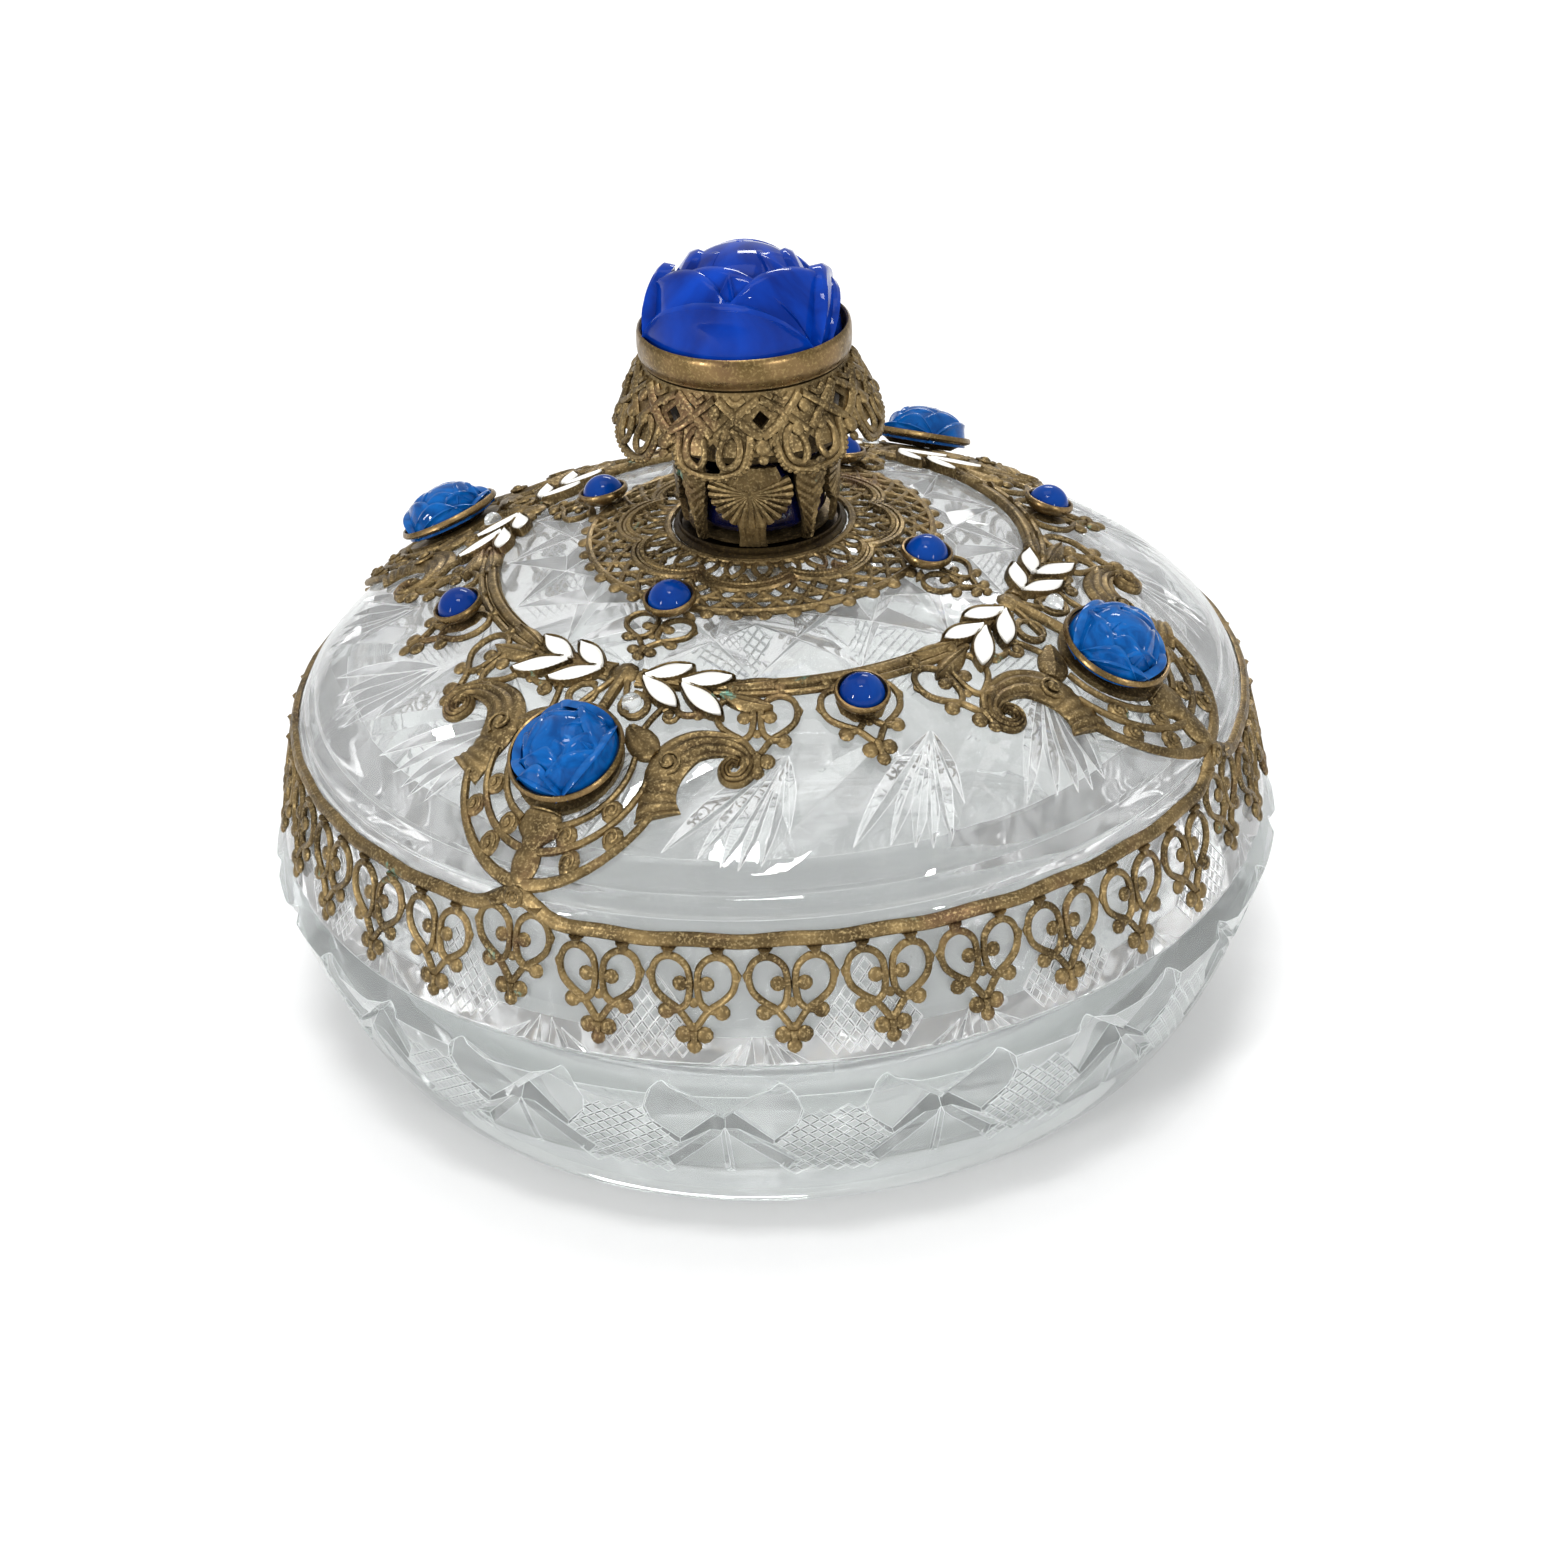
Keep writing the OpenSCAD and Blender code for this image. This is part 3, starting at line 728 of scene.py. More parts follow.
@dataclass(frozen=True)
class CutGlass(Finish):
    """Soda-lime glass, pressed, cut on the wheel and polished."""

    tint: str = "F7FBFA"
    depth_tint: str = "CFE0DA"
    density: float = 4.0
    ior: float = 1.5
    clear: float = 0.9
    frosted_clear: float = 0.35
    cover: float = 0.87
    edge: float = 0.15

    def surface(self, tree: bpy.types.NodeTree, where: bpy.types.NodeSocket) -> bpy.types.NodeSocket:
        """Glass whose polished skin is very slightly wavy, with a faint milk that holds the room's light.

        The cover is under one so that light falls straight through to the table and the inside, as the
        many bounces between real cuts bring it there.

        Args:
            tree: The material's node tree.
            where: Place on the piece, in metres.

        Returns:
            The shader's output.
        """
        wave = add(tree, "ShaderNodeBump", {"Height": grain(tree, where, 5.0, 1.0), "Strength": 0.3,
                                            "Distance": 0.05 * MM})
        # The wheel leaves each edge of a cut a little frosted, so it shows as a fine white line.
        round_edge = add(tree, "ShaderNodeBevel", {"Radius": self.edge * MM}, samples=6)
        same = add(tree, "ShaderNodeVectorMath", {0: round_edge.outputs[0],
                                                  1: add(tree, "ShaderNodeNewGeometry").outputs["Normal"]},
                   operation="DOT_PRODUCT").outputs["Value"]
        frost = add(tree, "ShaderNodeMapRange", {0: same, 1: 0.998, 2: 0.955, 3: 0.0, 4: 1.0}).outputs[0]
        clear = add(tree, "ShaderNodeMapRange", {0: frost, 3: self.clear, 4: self.frosted_clear}).outputs[0]
        cover = add(tree, "ShaderNodeMapRange", {0: frost, 3: self.cover, 4: 1.0}).outputs[0]
        glass = add(tree, "ShaderNodeBsdfPrincipled", {
            "Base Color": linear(self.tint), "Roughness": 0.0, "IOR": self.ior, "Alpha": cover,
            "Transmission Weight": clear, "Normal": wave.outputs[0]})
        return glass.outputs[0]

    def inside(self, tree: bpy.types.NodeTree, out: bpy.types.Node) -> None:
        """The grey-green that shows where the glass is thick.

        Args:
            tree: The material's node tree.
            out: The material's output node.
        """
        if self.density:
            soak = add(tree, "ShaderNodeVolumeAbsorption", {"Color": linear(self.depth_tint),
                                                            "Density": self.density})
            tree.links.new(soak.outputs[0], out.inputs["Volume"])


@dataclass(frozen=True)
class BlueGlass(Finish):
    """Opaque pressed glass, fire polished: a deep colour under a clear gloss."""

    deep: str = "03206E"
    bright: str = "04389E"
    # Colour of the painted highlight on pointed edges.
    edge_highlight: str = "2458BE"
    streak: float = 6.0

    def surface(self, tree: bpy.types.NodeTree, where: bpy.types.NodeSocket) -> bpy.types.NodeSocket:
        """Blue glass with faint swirls from the melt and a painted highlight on its pointed edges.

        Args:
            tree: The material's node tree.
            where: Place on the piece, in metres.

        Returns:
            The shader's output.
        """
        swirl = add(tree, "ShaderNodeTexNoise", {"Vector": where, "Scale": 1000 / (2 * self.streak),
                                                 "Detail": 4.0, "Distortion": 1.6}).outputs["Fac"]
        colour = ramp(tree, swirl, ((0.35, linear(self.deep)), (0.65, linear(self.bright))))
        # Painted highlight: pointed edges are mixed towards a paler blue.
        sharpness = add(tree, "ShaderNodeNewGeometry").outputs["Pointiness"]
        colour = mixed(tree, ramp(tree, sharpness, ((0.56, GREY[0]), (0.68, GREY[45]))), colour, linear(self.edge_highlight))
        glass = add(tree, "ShaderNodeBsdfPrincipled", {
            "Base Color": colour, "Roughness": 0.05, "IOR": 1.52, "Specular IOR Level": 0.12})
        return glass.outputs[0]


@dataclass(frozen=True)
class WhiteEnamel(Finish):
    """Fired enamel: thick, glossy white, chipped and dirty at its edges."""

    def surface(self, tree: bpy.types.NodeTree, where: bpy.types.NodeSocket) -> bpy.types.NodeSocket:
        """Glossy white with a few grey chips about a third of a millimetre across.

        Args:
            tree: The material's node tree.
            where: Place on the piece, in metres.

        Returns:
            The shader's output.
        """
        chips = ramp(tree, grain(tree, where, 0.5, 4.0, 0.7), ((0.66, GREY[0]), (0.72, GREY[80])))
        colour = mixed(tree, chips, linear("F4F2EC"), linear("8C8472"))
        enamel = add(tree, "ShaderNodeBsdfPrincipled", {"Base Color": colour, "Roughness": 0.22, "IOR": 1.5,
                                                        "Coat Weight": 0.4})
        return enamel.outputs[0]


@dataclass(frozen=True)
class DarkBead(Finish):
    """Opaque navy glass, moulded with a rounded rim."""

    def surface(self, tree: bpy.types.NodeTree, where: bpy.types.NodeSocket) -> bpy.types.NodeSocket:
        """Nearly black glass with a faint blue swirl.

        Args:
            tree: The material's node tree.
            where: Place on the piece, in metres.

        Returns:
            The shader's output.
        """
        colour = ramp(tree, grain(tree, where, 3.0), ((0.3, linear("04050F")), (0.7, linear("0B0F38"))))
        return add(tree, "ShaderNodeBsdfPrincipled", {"Base Color": colour, "Roughness": 0.06, "IOR": 1.52,
                                                      "Coat Weight": 1.0, "Coat Roughness": 0.03}).outputs[0]


@dataclass(frozen=True)
class PlainSteel(Finish):
    """Turned steel with fine marks."""

    def surface(self, tree: bpy.types.NodeTree, where: bpy.types.NodeSocket) -> bpy.types.NodeSocket:
        """Grey steel whose gloss varies in small patches.

        Args:
            tree: The material's node tree.
            where: Place on the piece, in metres.

        Returns:
            The shader's output.
        """
        rough = ramp(tree, grain(tree, where, 0.8), ((0.3, GREY[25]), (0.7, GREY[45])))
        return add(tree, "ShaderNodeBsdfPrincipled", {"Base Color": linear("9C9C98"), "Metallic": 1.0,
                                                      "Roughness": rough}).outputs[0]


@dataclass(frozen=True)
class PaleTable(Finish):
    """A matt white table."""

    def surface(self, tree: bpy.types.NodeTree, where: bpy.types.NodeSocket) -> bpy.types.NodeSocket:
        """Plain matt white.

        Args:
            tree: The material's node tree.
            where: Place on the piece, in metres.

        Returns:
            The shader's output.
        """
        return add(tree, "ShaderNodeBsdfPrincipled", {"Base Color": linear("ECECEC"), "Roughness": 0.9,
                                                      "Specular IOR Level": 0.1}).outputs[0]


class Look(Enum):
    """The finishes on this box."""

    BRASS = AgedBrass("aged_brass")
    WORN_BRASS = AgedBrass("worn_brass", gold="7E6644", brown="62502F", painted_glint="988256", verdigris_share=0.0,
                           roughness=0.3, relief=0.01)
    # A darker copy of the aged brass: painted shade for parts that stand in shadow inside the knob.
    SHADED_BRASS = AgedBrass("painted_shade_brass", gold="40341E", brown="261C10", ruddy="2A1E14", painted_glint="5A4A2C")
    BOWL = CutGlass("bowl_cut_glass", depth_tint="D8E4E0", density=0.8)
    LID = CutGlass("lid_cut_glass", tint="FDFEFE", density=0.0)
    CRYSTAL = CutGlass("small_crystal", density=0.0)
    KNOB = BlueGlass("knob_blue_glass")
    ROSE = BlueGlass("rose_blue_glass", deep="033C78", bright="08569E", edge_highlight="4C86C0",
                     streak=1.6)
    ROUND = BlueGlass("round_blue_glass", deep="042A70", bright="053C8A", edge_highlight="053C8A")
    ENAMEL = WhiteEnamel("white_enamel")
    BEAD = DarkBead("dark_bead_glass")
    STEEL = PlainSteel("plain_steel")
    TABLE = PaleTable("pale_table")


# ---- Cut glass ----

GLASS_EDGE = 12.0
"""Angle in degrees from which an edge of the cut glass is sharp."""


def cutter_mesh(bottom: Sequence[Sequence[float]], top: Sequence[Sequence[float]]) -> Shape:
    """A closed cutter between a lower and an upper outline with as many corners.

    Args:
        bottom: Corners of the lower outline, anticlockwise from outside the glass.
        top: Corners of the upper outline.

    Returns:
        The cutter.
    """
    n = len(top)
    sides = [(i, (i + 1) % n, n + (i + 1) % n, n + i) for i in range(n)]
    return mesh_piece("cutter", [*bottom, *top], [tuple(reversed(range(n))), *sides, tuple(range(n, 2 * n))])


def mitre_cut(start: Point, end: Point, depths: tuple[float, float], slope: float, steps: int = 6,
              bulge: float = 0.0, clear: float = 1.2, other: float | None = None) -> Shape:
    """A V cut in pattern coordinates, to be laid on the glass.

    Args:
        start: Where the cut begins, as (x, y).
        end: Where it ends.
        depths: Depth at both ends.
        slope: Half width of the cut for each millimetre of depth.
        steps: Number of steps along it.
        bulge: Extra depth at the middle, for a cut that is pointed at both ends.
        clear: How far the cutter stands above the glass.
        other: The slope on the left of the way from start to end, where it differs.

    Returns:
        The cutter, with z off the glass.
    """
    a, b = Vector(start), Vector(end)
    along = (b - a).normalized()
    across = Vector((-along.y, along.x))
    points, faces = [], []
    for i in range(steps + 1):
        t = i / steps
        deep = depths[0] + (depths[1] - depths[0]) * t + bulge * 4 * t * (1 - t)
        mid = a + (b - a) * t
        right, left = slope * (deep + clear), (other or slope) * (deep + clear)
        points += [(*(mid - across * right), clear), (*mid, -deep), (*(mid + across * left), clear)]
    for i in range(steps):
        k = 3 * i
        faces += [(k, k + 1, k + 4, k + 3), (k + 1, k + 2, k + 5, k + 4), (k + 2, k, k + 3, k + 5)]
    faces += [(0, 2, 1), (3 * steps, 3 * steps + 1, 3 * steps + 2)]
    return mesh_piece("mitre", points, faces)


def hatch_cut(outline: Callable[[float, float], bool], first: Point, second: Point, depth: float,
              reach: int, share: float = 0.27) -> Shape:
    """A field of small flat diamonds between crossed V cuts, as one closed cutter.

    Args:
        outline: True where the hatched field is, at (x, y).
        first: Step from one diamond to the next along the first direction.
        second: The same along the second direction.
        depth: Depth of the V cuts.
        reach: Number of steps looked at on each side.
        share: Share of the step from a cut's middle to where its side ends, above the glass.

    Returns:
        The cutter, with z off the glass.
    """
    u, v, a, b = Vector(first), Vector(second), share, 1 - share
    clear, crest = 1.0, 0.3
    cells = [(i, j) for i in range(-reach, reach) for j in range(-reach, reach)
             if outline(*((i + 0.5) * u + (j + 0.5) * v))]
    spots: dict[tuple, int] = {}
    points: list[tuple] = []
    faces: list[tuple] = []

    def corner(i: float, j: float, z: float) -> int:
        """Number of the point at lattice place (i, j) and height z.

        Args:
            i: Steps along the first direction.
            j: Steps along the second direction.
            z: Height.

        Returns:
            The point's number.
        """
        key = (i, j, z)
        if key not in spots:
            spots[key] = len(points)
            points.append((*(i * u + j * v), z))
        return spots[key]

    for i, j in cells:
        low = [corner(*c, -depth) for c in ((i, j), (i + 1, j), (i + 1, j + 1), (i, j + 1))]
        high = [corner(*c, clear) for c in ((i, j), (i + 1, j), (i + 1, j + 1), (i, j + 1))]
        top = [corner(*c, crest) for c in ((i + a, j + a), (i + b, j + a), (i + b, j + b), (i + a, j + b))]
        faces += [tuple(high), tuple(reversed(top))]
        for k, (di, dj) in enumerate(((0, -1), (1, 0), (0, 1), (-1, 0))):
            faces.append((low[(k + 1) % 4], low[k], top[k], top[(k + 1) % 4]))
            if (i + di, j + dj) not in cells:
                faces.append((low[k], low[(k + 1) % 4], high[(k + 1) % 4], high[k]))
    return mesh_piece("hatch", points, faces)


@dataclass
class CutBowl:
    """The bowl: crossed cuts with fans, and hatched cushions between them."""

    round_steps: int = 144
    facet_outline: tuple[Point, ...] = (
        (0.0, -0.2), (6.9, 6.4), (8.1, 5.3), (9.2, 2.2), (8.6, -0.6), (5.4, -4.6))
    facet_depth: float = 2.1
    facet_tilt: Point = (-0.154, 0.099)
    bevel: float = 0.75
    arms: tuple[tuple[Point, float, float], ...] = (
        ((7.5, 7.1), 0.8, 1.9), ((-7.5, 7.1), 0.8, 1.9), ((8.0, -8.4), 0.75, 1.7), ((-8.0, -8.4), 0.75, 1.7),
        ((0.0, -9.6), 0.35, 1.6))
    hatch_depth: float = 0.26
    hatch_first: Point = (1.08, 0.82)
    hatch_second: Point = (0.92, -1.06)
    cushion_z: float = 16.6

    def body(self) -> Shape:
        """The uncut bowl.

        Returns:
            The uncut bowl.
        """
        b = BOX
        outside = [(b.bowl(s * b.belly_z), s * b.belly_z) for s in
                   (0.02, 0.05, 0.09, 0.14, 0.2, 0.27, 0.34, 0.42, 0.5, 0.58, 0.66, 0.74, 0.82, 0.91, 1)]
        inside = [(b.hollow(s), b.floor_t + s * (b.seam_z - b.floor_t))
                  for s in (1, 0.86, 0.72, 0.58, 0.44, 0.32, 0.22, 0.14, 0.07, 0.03, 0)]
        rim = [(b.seam_r + b.edge / 2, b.seam_z - b.edge), (b.seam_r - b.edge / 2, b.seam_z)]
        outline = [(0, 0), (b.base_r, 0), *outside, *rim, *inside, (0, b.floor_t)]
        return spun("cut_bowl", outline, self.round_steps)

    def side_facet(self, side: int) -> Shape:
        """The cutter of a smooth facet right (1) or left (-1) of a crossing, with sloping walls.

        Args:
            side: 1 on the right, -1 on the left.

        Returns:
            The cutter.
        """
        high, draw_in = 4.0, 0.06
        xs, ys = zip(*self.facet_outline)
        centre = Vector((sum(xs) / len(xs), sum(ys) / len(ys)))
        bottom, top = [], []
        for x, y in self.facet_outline:
            z = -self.facet_depth - x * self.facet_tilt[0] - y * self.facet_tilt[1]
            out = (Vector((x, y)) - centre).normalized() * self.bevel * (high - z)
            inner = Vector((x, y)) + (centre - Vector((x, y))) * draw_in
            bottom.append((side * inner.x, inner.y, z))
            top.append((side * (x + out.x), y + out.y, high))
        order = slice(None) if side > 0 else slice(None, None, -1)
        return cutter_mesh(bottom[order], top[order])

    def cutters(self) -> Iterable[Shape]:
        """One joined cutter for each kind of cut, all round the bowl.

        Returns:
            The cutters, one after another.
        """
        b = BOX
        lean = math.degrees(math.atan((b.bowl(b.cross_z + 1) - b.bowl(b.cross_z - 1)) / 2))
        for side in (1, -1):
            facet = self.side_facet(side)
            facet.data.transform(at_tangent(b.bowl(b.cross_z), b.cross_z, lean))
            yield all_round("facets", facet, b.cross_az)
        for end, deep, slope in self.arms:
            cut = mitre_cut((0.04 * end[0], 0.04 * end[1]), end, (0.8 * deep, deep), slope, 8)
            yield all_round("arms", placed(cut, on_wall(0, b.cross_z, b.bowl)), b.cross_az)

        def cushion(x: float, y: float) -> bool:
            """The hatched field, between the facets of two crossings.

            Args:
                x: Place across.
                y: Place upwards.

            Returns:
                Whether it is hatched there.
            """
            if y > 5.6 or y < -6.3:
                return False
            return abs(x) < (4.4 + (4 - y) * 0.42 if y > -1.5 else 6.8 + (y + 1.5) * 0.35)

        hatch = hatch_cut(cushion, self.hatch_first, self.hatch_second, self.hatch_depth, 12)
        placed(hatch, on_wall(0, self.cushion_z, b.bowl))
        yield all_round("hatching", hatch, b.cross_az + b.step / 2)

    def build(self) -> None:
        """Cuts and dresses the bowl."""
        bowl = self.body()
        for cutter in self.cutters():
            carve(bowl, cutter)
        dressed("cut_bowl", [without_chips(bowl)], Look.BOWL, ["bowl"], "bowl_glass", GLASS_EDGE, "bowl")


@dataclass
class CutLid:
    """The lid: a star of mitre cuts, slanting fans, and a skirt with arches and hatched panels."""

    round_steps: int = 160
    star_r: float = 32.5
    star_len: float = 18.0
    star_lean: float = 32.0
    star_depth: float = 1.6
    star_slopes: Point = (2.9, 1.3)
    ribbon: tuple[Point, Point] = ((13.1, 41.4), (-2.5, 56.6))
    fan_root: Point = (1.9, 43.4)
    fan_tips: tuple[Point, ...] = (
        (-12.9, 53.4), (-8.9, 54.6), (-6.3, 55.6), (-4.4, 56.2), (-1.9, 56.3), (1.4, 54.6))
    hatch_depth: float = 0.26
    panel_lift: float = 2.4
    seat_gap: float = 0.15
    bore_r: float = 1.75

    def body(self) -> Shape:
        """The uncut lid with its locating lip.

        Returns:
            The uncut lid.
        """
        b = BOX
        foot = b.seam_z + self.seat_gap
        in_r, in_h = b.lid_r - b.lid_wall, b.dome_h - b.crown_t
        steps = 30
        places = [math.cos(math.pi / 2 * i / steps) ** (2 / b.dome_n)
                  for i in (*(k / 4 for k in range(24)), *range(6, steps + 1))]

        def turned_in(s: float) -> Point:
            """The outer face at a share of the radius, with two rings turned into the steep shoulder.

            Args:
                s: Share of the lid's radius.

            Returns:
                Radius and height of the face.
            """
            up = b.rise(s * b.lid_r)
            ring = sum(deep * math.exp(-((up - z) / 0.4) ** 2) for z, deep in ((2.0, 0.35), (4.2, 0.3)))
            return s * b.lid_r - ring, b.dome_z + up

        lip_r = b.hollow((b.seam_z - b.lip_h - b.floor_t) / (b.seam_z - b.floor_t)) - b.lip_gap
        outside = [turned_in(s) for s in reversed(places)]
        inside = [(s * in_r, b.dome_z + b.rise(s * in_r, in_r, in_h)) for s in places[24::2]]
        skirt = [(b.skirt(z), z) for z in (39, 35, 31.5, foot + b.edge)]
        foot_line = [(b.seam_r - b.edge / 2, foot), (lip_r, foot), (lip_r, b.seam_z - b.lip_h + b.edge),
                     (lip_r - b.edge, b.seam_z - b.lip_h), (lip_r - b.lip_t, b.seam_z - b.lip_h)]
        outside[0], inside[-1] = (0, outside[0][1]), (0, inside[-1][1])
        return spun("cut_lid", [*outside, *skirt, *foot_line, *inside], self.round_steps)

    def star(self) -> Iterable[Shape]:
        """Mitre cuts from each point of the star towards other points, up to the rosette.

        Returns:
            The cutters, one after another.
        """
        for side in (1, -1):
            a = math.radians(side * self.star_lean)
            start = Vector((0, self.star_r))
            end = start + self.star_len * Vector((math.sin(a), -math.cos(a)))
            # The wheel leans, so the face towards the middle of the point is the broad one.
            right, left = self.star_slopes[::side]
            # Cuts that cross one another go in by turns, because one cutter may not overlap itself.
            for turn in range(4):
                cut = placed(mitre_cut(start, end, (0.03, self.star_depth), right, 9, other=left), on_dome(0))
                yield all_round("star", cut, BOX.star_az + turn * BOX.step, 4)

    def fans(self) -> Iterable[Shape]:
        """Slanting fans of mitre cuts that start together and spread outwards.

        Returns:
            The cutters, one after another.
        """
        for turn in range(2):
            band = placed(mitre_cut(*self.ribbon, (0.02, 0.02), 4.0, 12, 0.55), on_dome(0))
            yield all_round("ribbon", band, turn * BOX.step, 2)
        root, last = Vector(self.fan_root), len(self.fan_tips) - 1
        for i, end in enumerate(self.fan_tips):
            tip = Vector(end)
            near = root + (tip - root) * (0.03 if i in (0, last) else 0.12 + 0.05 * (i % 2))
            cut = mitre_cut(near, tip, (0.02, 0.02), 1.1, 8, 0.75 if i % 2 else 0.95)
            yield all_round("fan", placed(cut, on_dome(0)), 0.0)

    def skirt(self) -> Iterable[Shape]:
        """Arches with flutes at the seam, and hatched panels between them.

        Returns:
            The cutters, one after another.
        """
        b = BOX
        for x in (-5.0, -1.8, 1.8, 5.0):
            cut = mitre_cut((x * 0.4, 4.6 - abs(x) * 0.3), (x * 1.1, -0.9), (0.02, 1.1), 1.5, 4)
            yield all_round("arch", placed(cut, on_wall(0, b.seam_z, b.skirt)), b.star_az)

        def panel(x: float, y: float) -> bool:
            """The hatched shield between two arches, with y = 0 at its foot."""
            return 0 <= y <= 9.2 and abs(x) < (5.4 + 0.15 * y if y < 3 else 5.85 - 0.75 * (y - 3))

        hatch = hatch_cut(panel, (0.78, 1.0), (0.78, -1.0), self.hatch_depth, 14)
        placed(hatch, on_wall(0, b.seam_z + self.panel_lift, b.skirt))
        yield all_round("panels", hatch, b.star_az + b.step / 2)

    def bore(self) -> Shape:
        """The hole that the knob's bolt passes through.

        Returns:
            The cutter.
        """
        clear_bench()
        bpy.ops.mesh.primitive_cylinder_add(vertices=32, radius=self.bore_r, depth=2 * BOX.dome_h,
                                            location=(0, 0, BOX.dome_z + BOX.dome_h))
        return applied()

    def build(self) -> None:
        """Cuts and dresses the lid."""
        lid = self.body()
        carve(lid, self.bore())
        for cutters in (self.star, self.fans, self.skirt):
            for cutter in cutters():
                carve(lid, cutter)
        dressed("cut_lid", [without_chips(lid)], Look.LID, ["lid_glass"], "lid_glass", GLASS_EDGE)


# ---- Lines, ribbons and scrolls of the brass overlay ----


def eased(points: Sequence[Sequence[float]], steps: int = 4, closed: bool = False) -> list[Vector]:
    """A smooth line through points that may carry any number of values each.

    Args:
        points: The points to pass through.
        steps: Number of steps between two of them.
        closed: Whether the line comes back to its start.

    Returns:
        The points of the smooth line.
    """
    knots = [Vector(p) for p in points]
    n = len(knots)
    line = []
    for i in range(n if closed else n - 1):
        a, b, c, d = (knots[j % n if closed else min(max(j, 0), n - 1)] for j in range(i - 1, i + 3))
        for k in range(steps):
            t = k / steps
            line.append(0.5 * (2 * b + (c - a) * t + (2 * a - 5 * b + 4 * c - d) * t * t
                               + (3 * b - a - 3 * c + d) * t ** 3))
    return line if closed else [*line, knots[-1]]


def wire(points: Sequence[Sequence[float]], radius: float = 0.42, closed: bool = False, steps: int = 4,
         z: float = 0.65, radii: Sequence[float] | None = None) -> Shape:
    """A smooth wire of a flat pattern, at height z above the glass.

    Args:
        points: Points that it passes through.
        radius: Its radius.
        closed: Whether its ends join.
        steps: Steps between two of the points.
        z: Height of its middle above the glass.
        radii: Share of the radius at each point.

    Returns:
        The wire.
    """
    line = [(p[0], p[1], z + (p[2] if len(p) > 2 else 0)) for p in eased(points, steps, closed)]
    shares = [v[0] for v in eased([(r, 0) for r in radii], steps)] if radii else None
    return tube(line, radius, closed, 2, shares)


def bead(x: float, y: float, radius: float = 0.95, z: float = 0.66, squash: float = 0.5) -> Shape:
    """A flattened ball of a flat pattern."""
    return ball((x, y, z), radius, 10, squash)


def ribbon(line: Sequence[Sequence[float]], top: Callable[[float, float], float], low: float = 0.2,
           across: int = 8, caps: bool = True) -> Shape:
    """A strip with relief along a line, flat underneath.

    Args:
        line: Rows of (x, y, half width).
        top: Height of the upper face at a share along (0 to 1) and a place across (-1 to 1).
        low: Height of the lower face.
        across: Number of steps across.
        caps: Whether the ends are closed.

    Returns:
        The strip.
    """
    rows, width = len(line), 2 * (across + 1)
    points, faces = [], []
    for i, row in enumerate(line):
        ahead, behind = line[min(i + 1, rows - 1)], line[max(i - 1, 0)]
        along = Vector((ahead[0] - behind[0], ahead[1] - behind[1])).normalized()
        for j in range(across + 1):
            w = 2 * j / across - 1
            spot = Vector(row[:2]) + Vector((-along.y, along.x)) * row[2] * w
            points += [(spot.x, spot.y, top(i / (rows - 1), w)), (spot.x, spot.y, low)]
    for i in range(rows - 1):
        a, b = i * width, (i + 1) * width
        for j in range(across):
            k = 2 * j
            faces += [(a + k, b + k, b + k + 2, a + k + 2), (a + k + 1, a + k + 3, b + k + 3, b + k + 1)]
        faces += [(a, a + 1, b + 1, b), (a + width - 2, b + width - 2, b + width - 1, a + width - 1)]
    if caps:
        for a in (0, (rows - 1) * width):
            faces += [(a + 2 * j, a + 2 * j + 2, a + 2 * j + 3, a + 2 * j + 1) for j in range(across)]
    return mesh_piece("ribbon", points, faces)


def scroll(centre: Point, radius: float, turns: float, start: float, hand: int = 1, thick: float = 0.3,
           z: float = 0.8) -> list[Shape]:
    """A flat spiral with a ball at its eye.

    Args:
        centre: Its eye.
        radius: Radius of its outer end.
        turns: Number of turns.
        start: Angle of its outer end.
        hand: 1 anticlockwise, -1 clockwise.
        thick: Radius of its wire.
        z: Height of its outer end.

    Returns:
        Its wire and its ball.
    """
    steps = int(10 * turns) + 1
    line = []
    for i in range(steps):
        t = i / (steps - 1)
        a = math.radians(start + hand * 360 * turns * t)
        r = radius * (1 - 0.8 * t)
        line.append((centre[0] + r * math.cos(a), centre[1] + r * math.sin(a), z + 0.25 * t))
    return [tube(line, thick), ball((*centre, z + 0.3), 0.42 * radius, 10, 0.6)]


def both(pieces: Sequence[Shape]) -> list[Shape]:
    """The pieces and their mirror images across the pattern's middle line."""
    return [*pieces, *(mirrored(piece) for piece in pieces)]


def seat(az: float, r: float, lift: float) -> Matrix:
    """The frame of something that stands on the dome, z along the glass's normal.

    Args:
        az: Azimuth in degrees.
        r: Plan radius.
        lift: Height above the glass.

    Returns:
        The frame.
    """
    nr, nz = BOX.normal(r)
    return (Matrix.Rotation(math.radians(az), 4, "Z") @ Matrix.Translation((0, -r, BOX.dome_z + BOX.rise(r)))
            @ Matrix.Rotation(math.atan2(nr, nz), 4, "X") @ Matrix.Translation((0, 0, lift)))


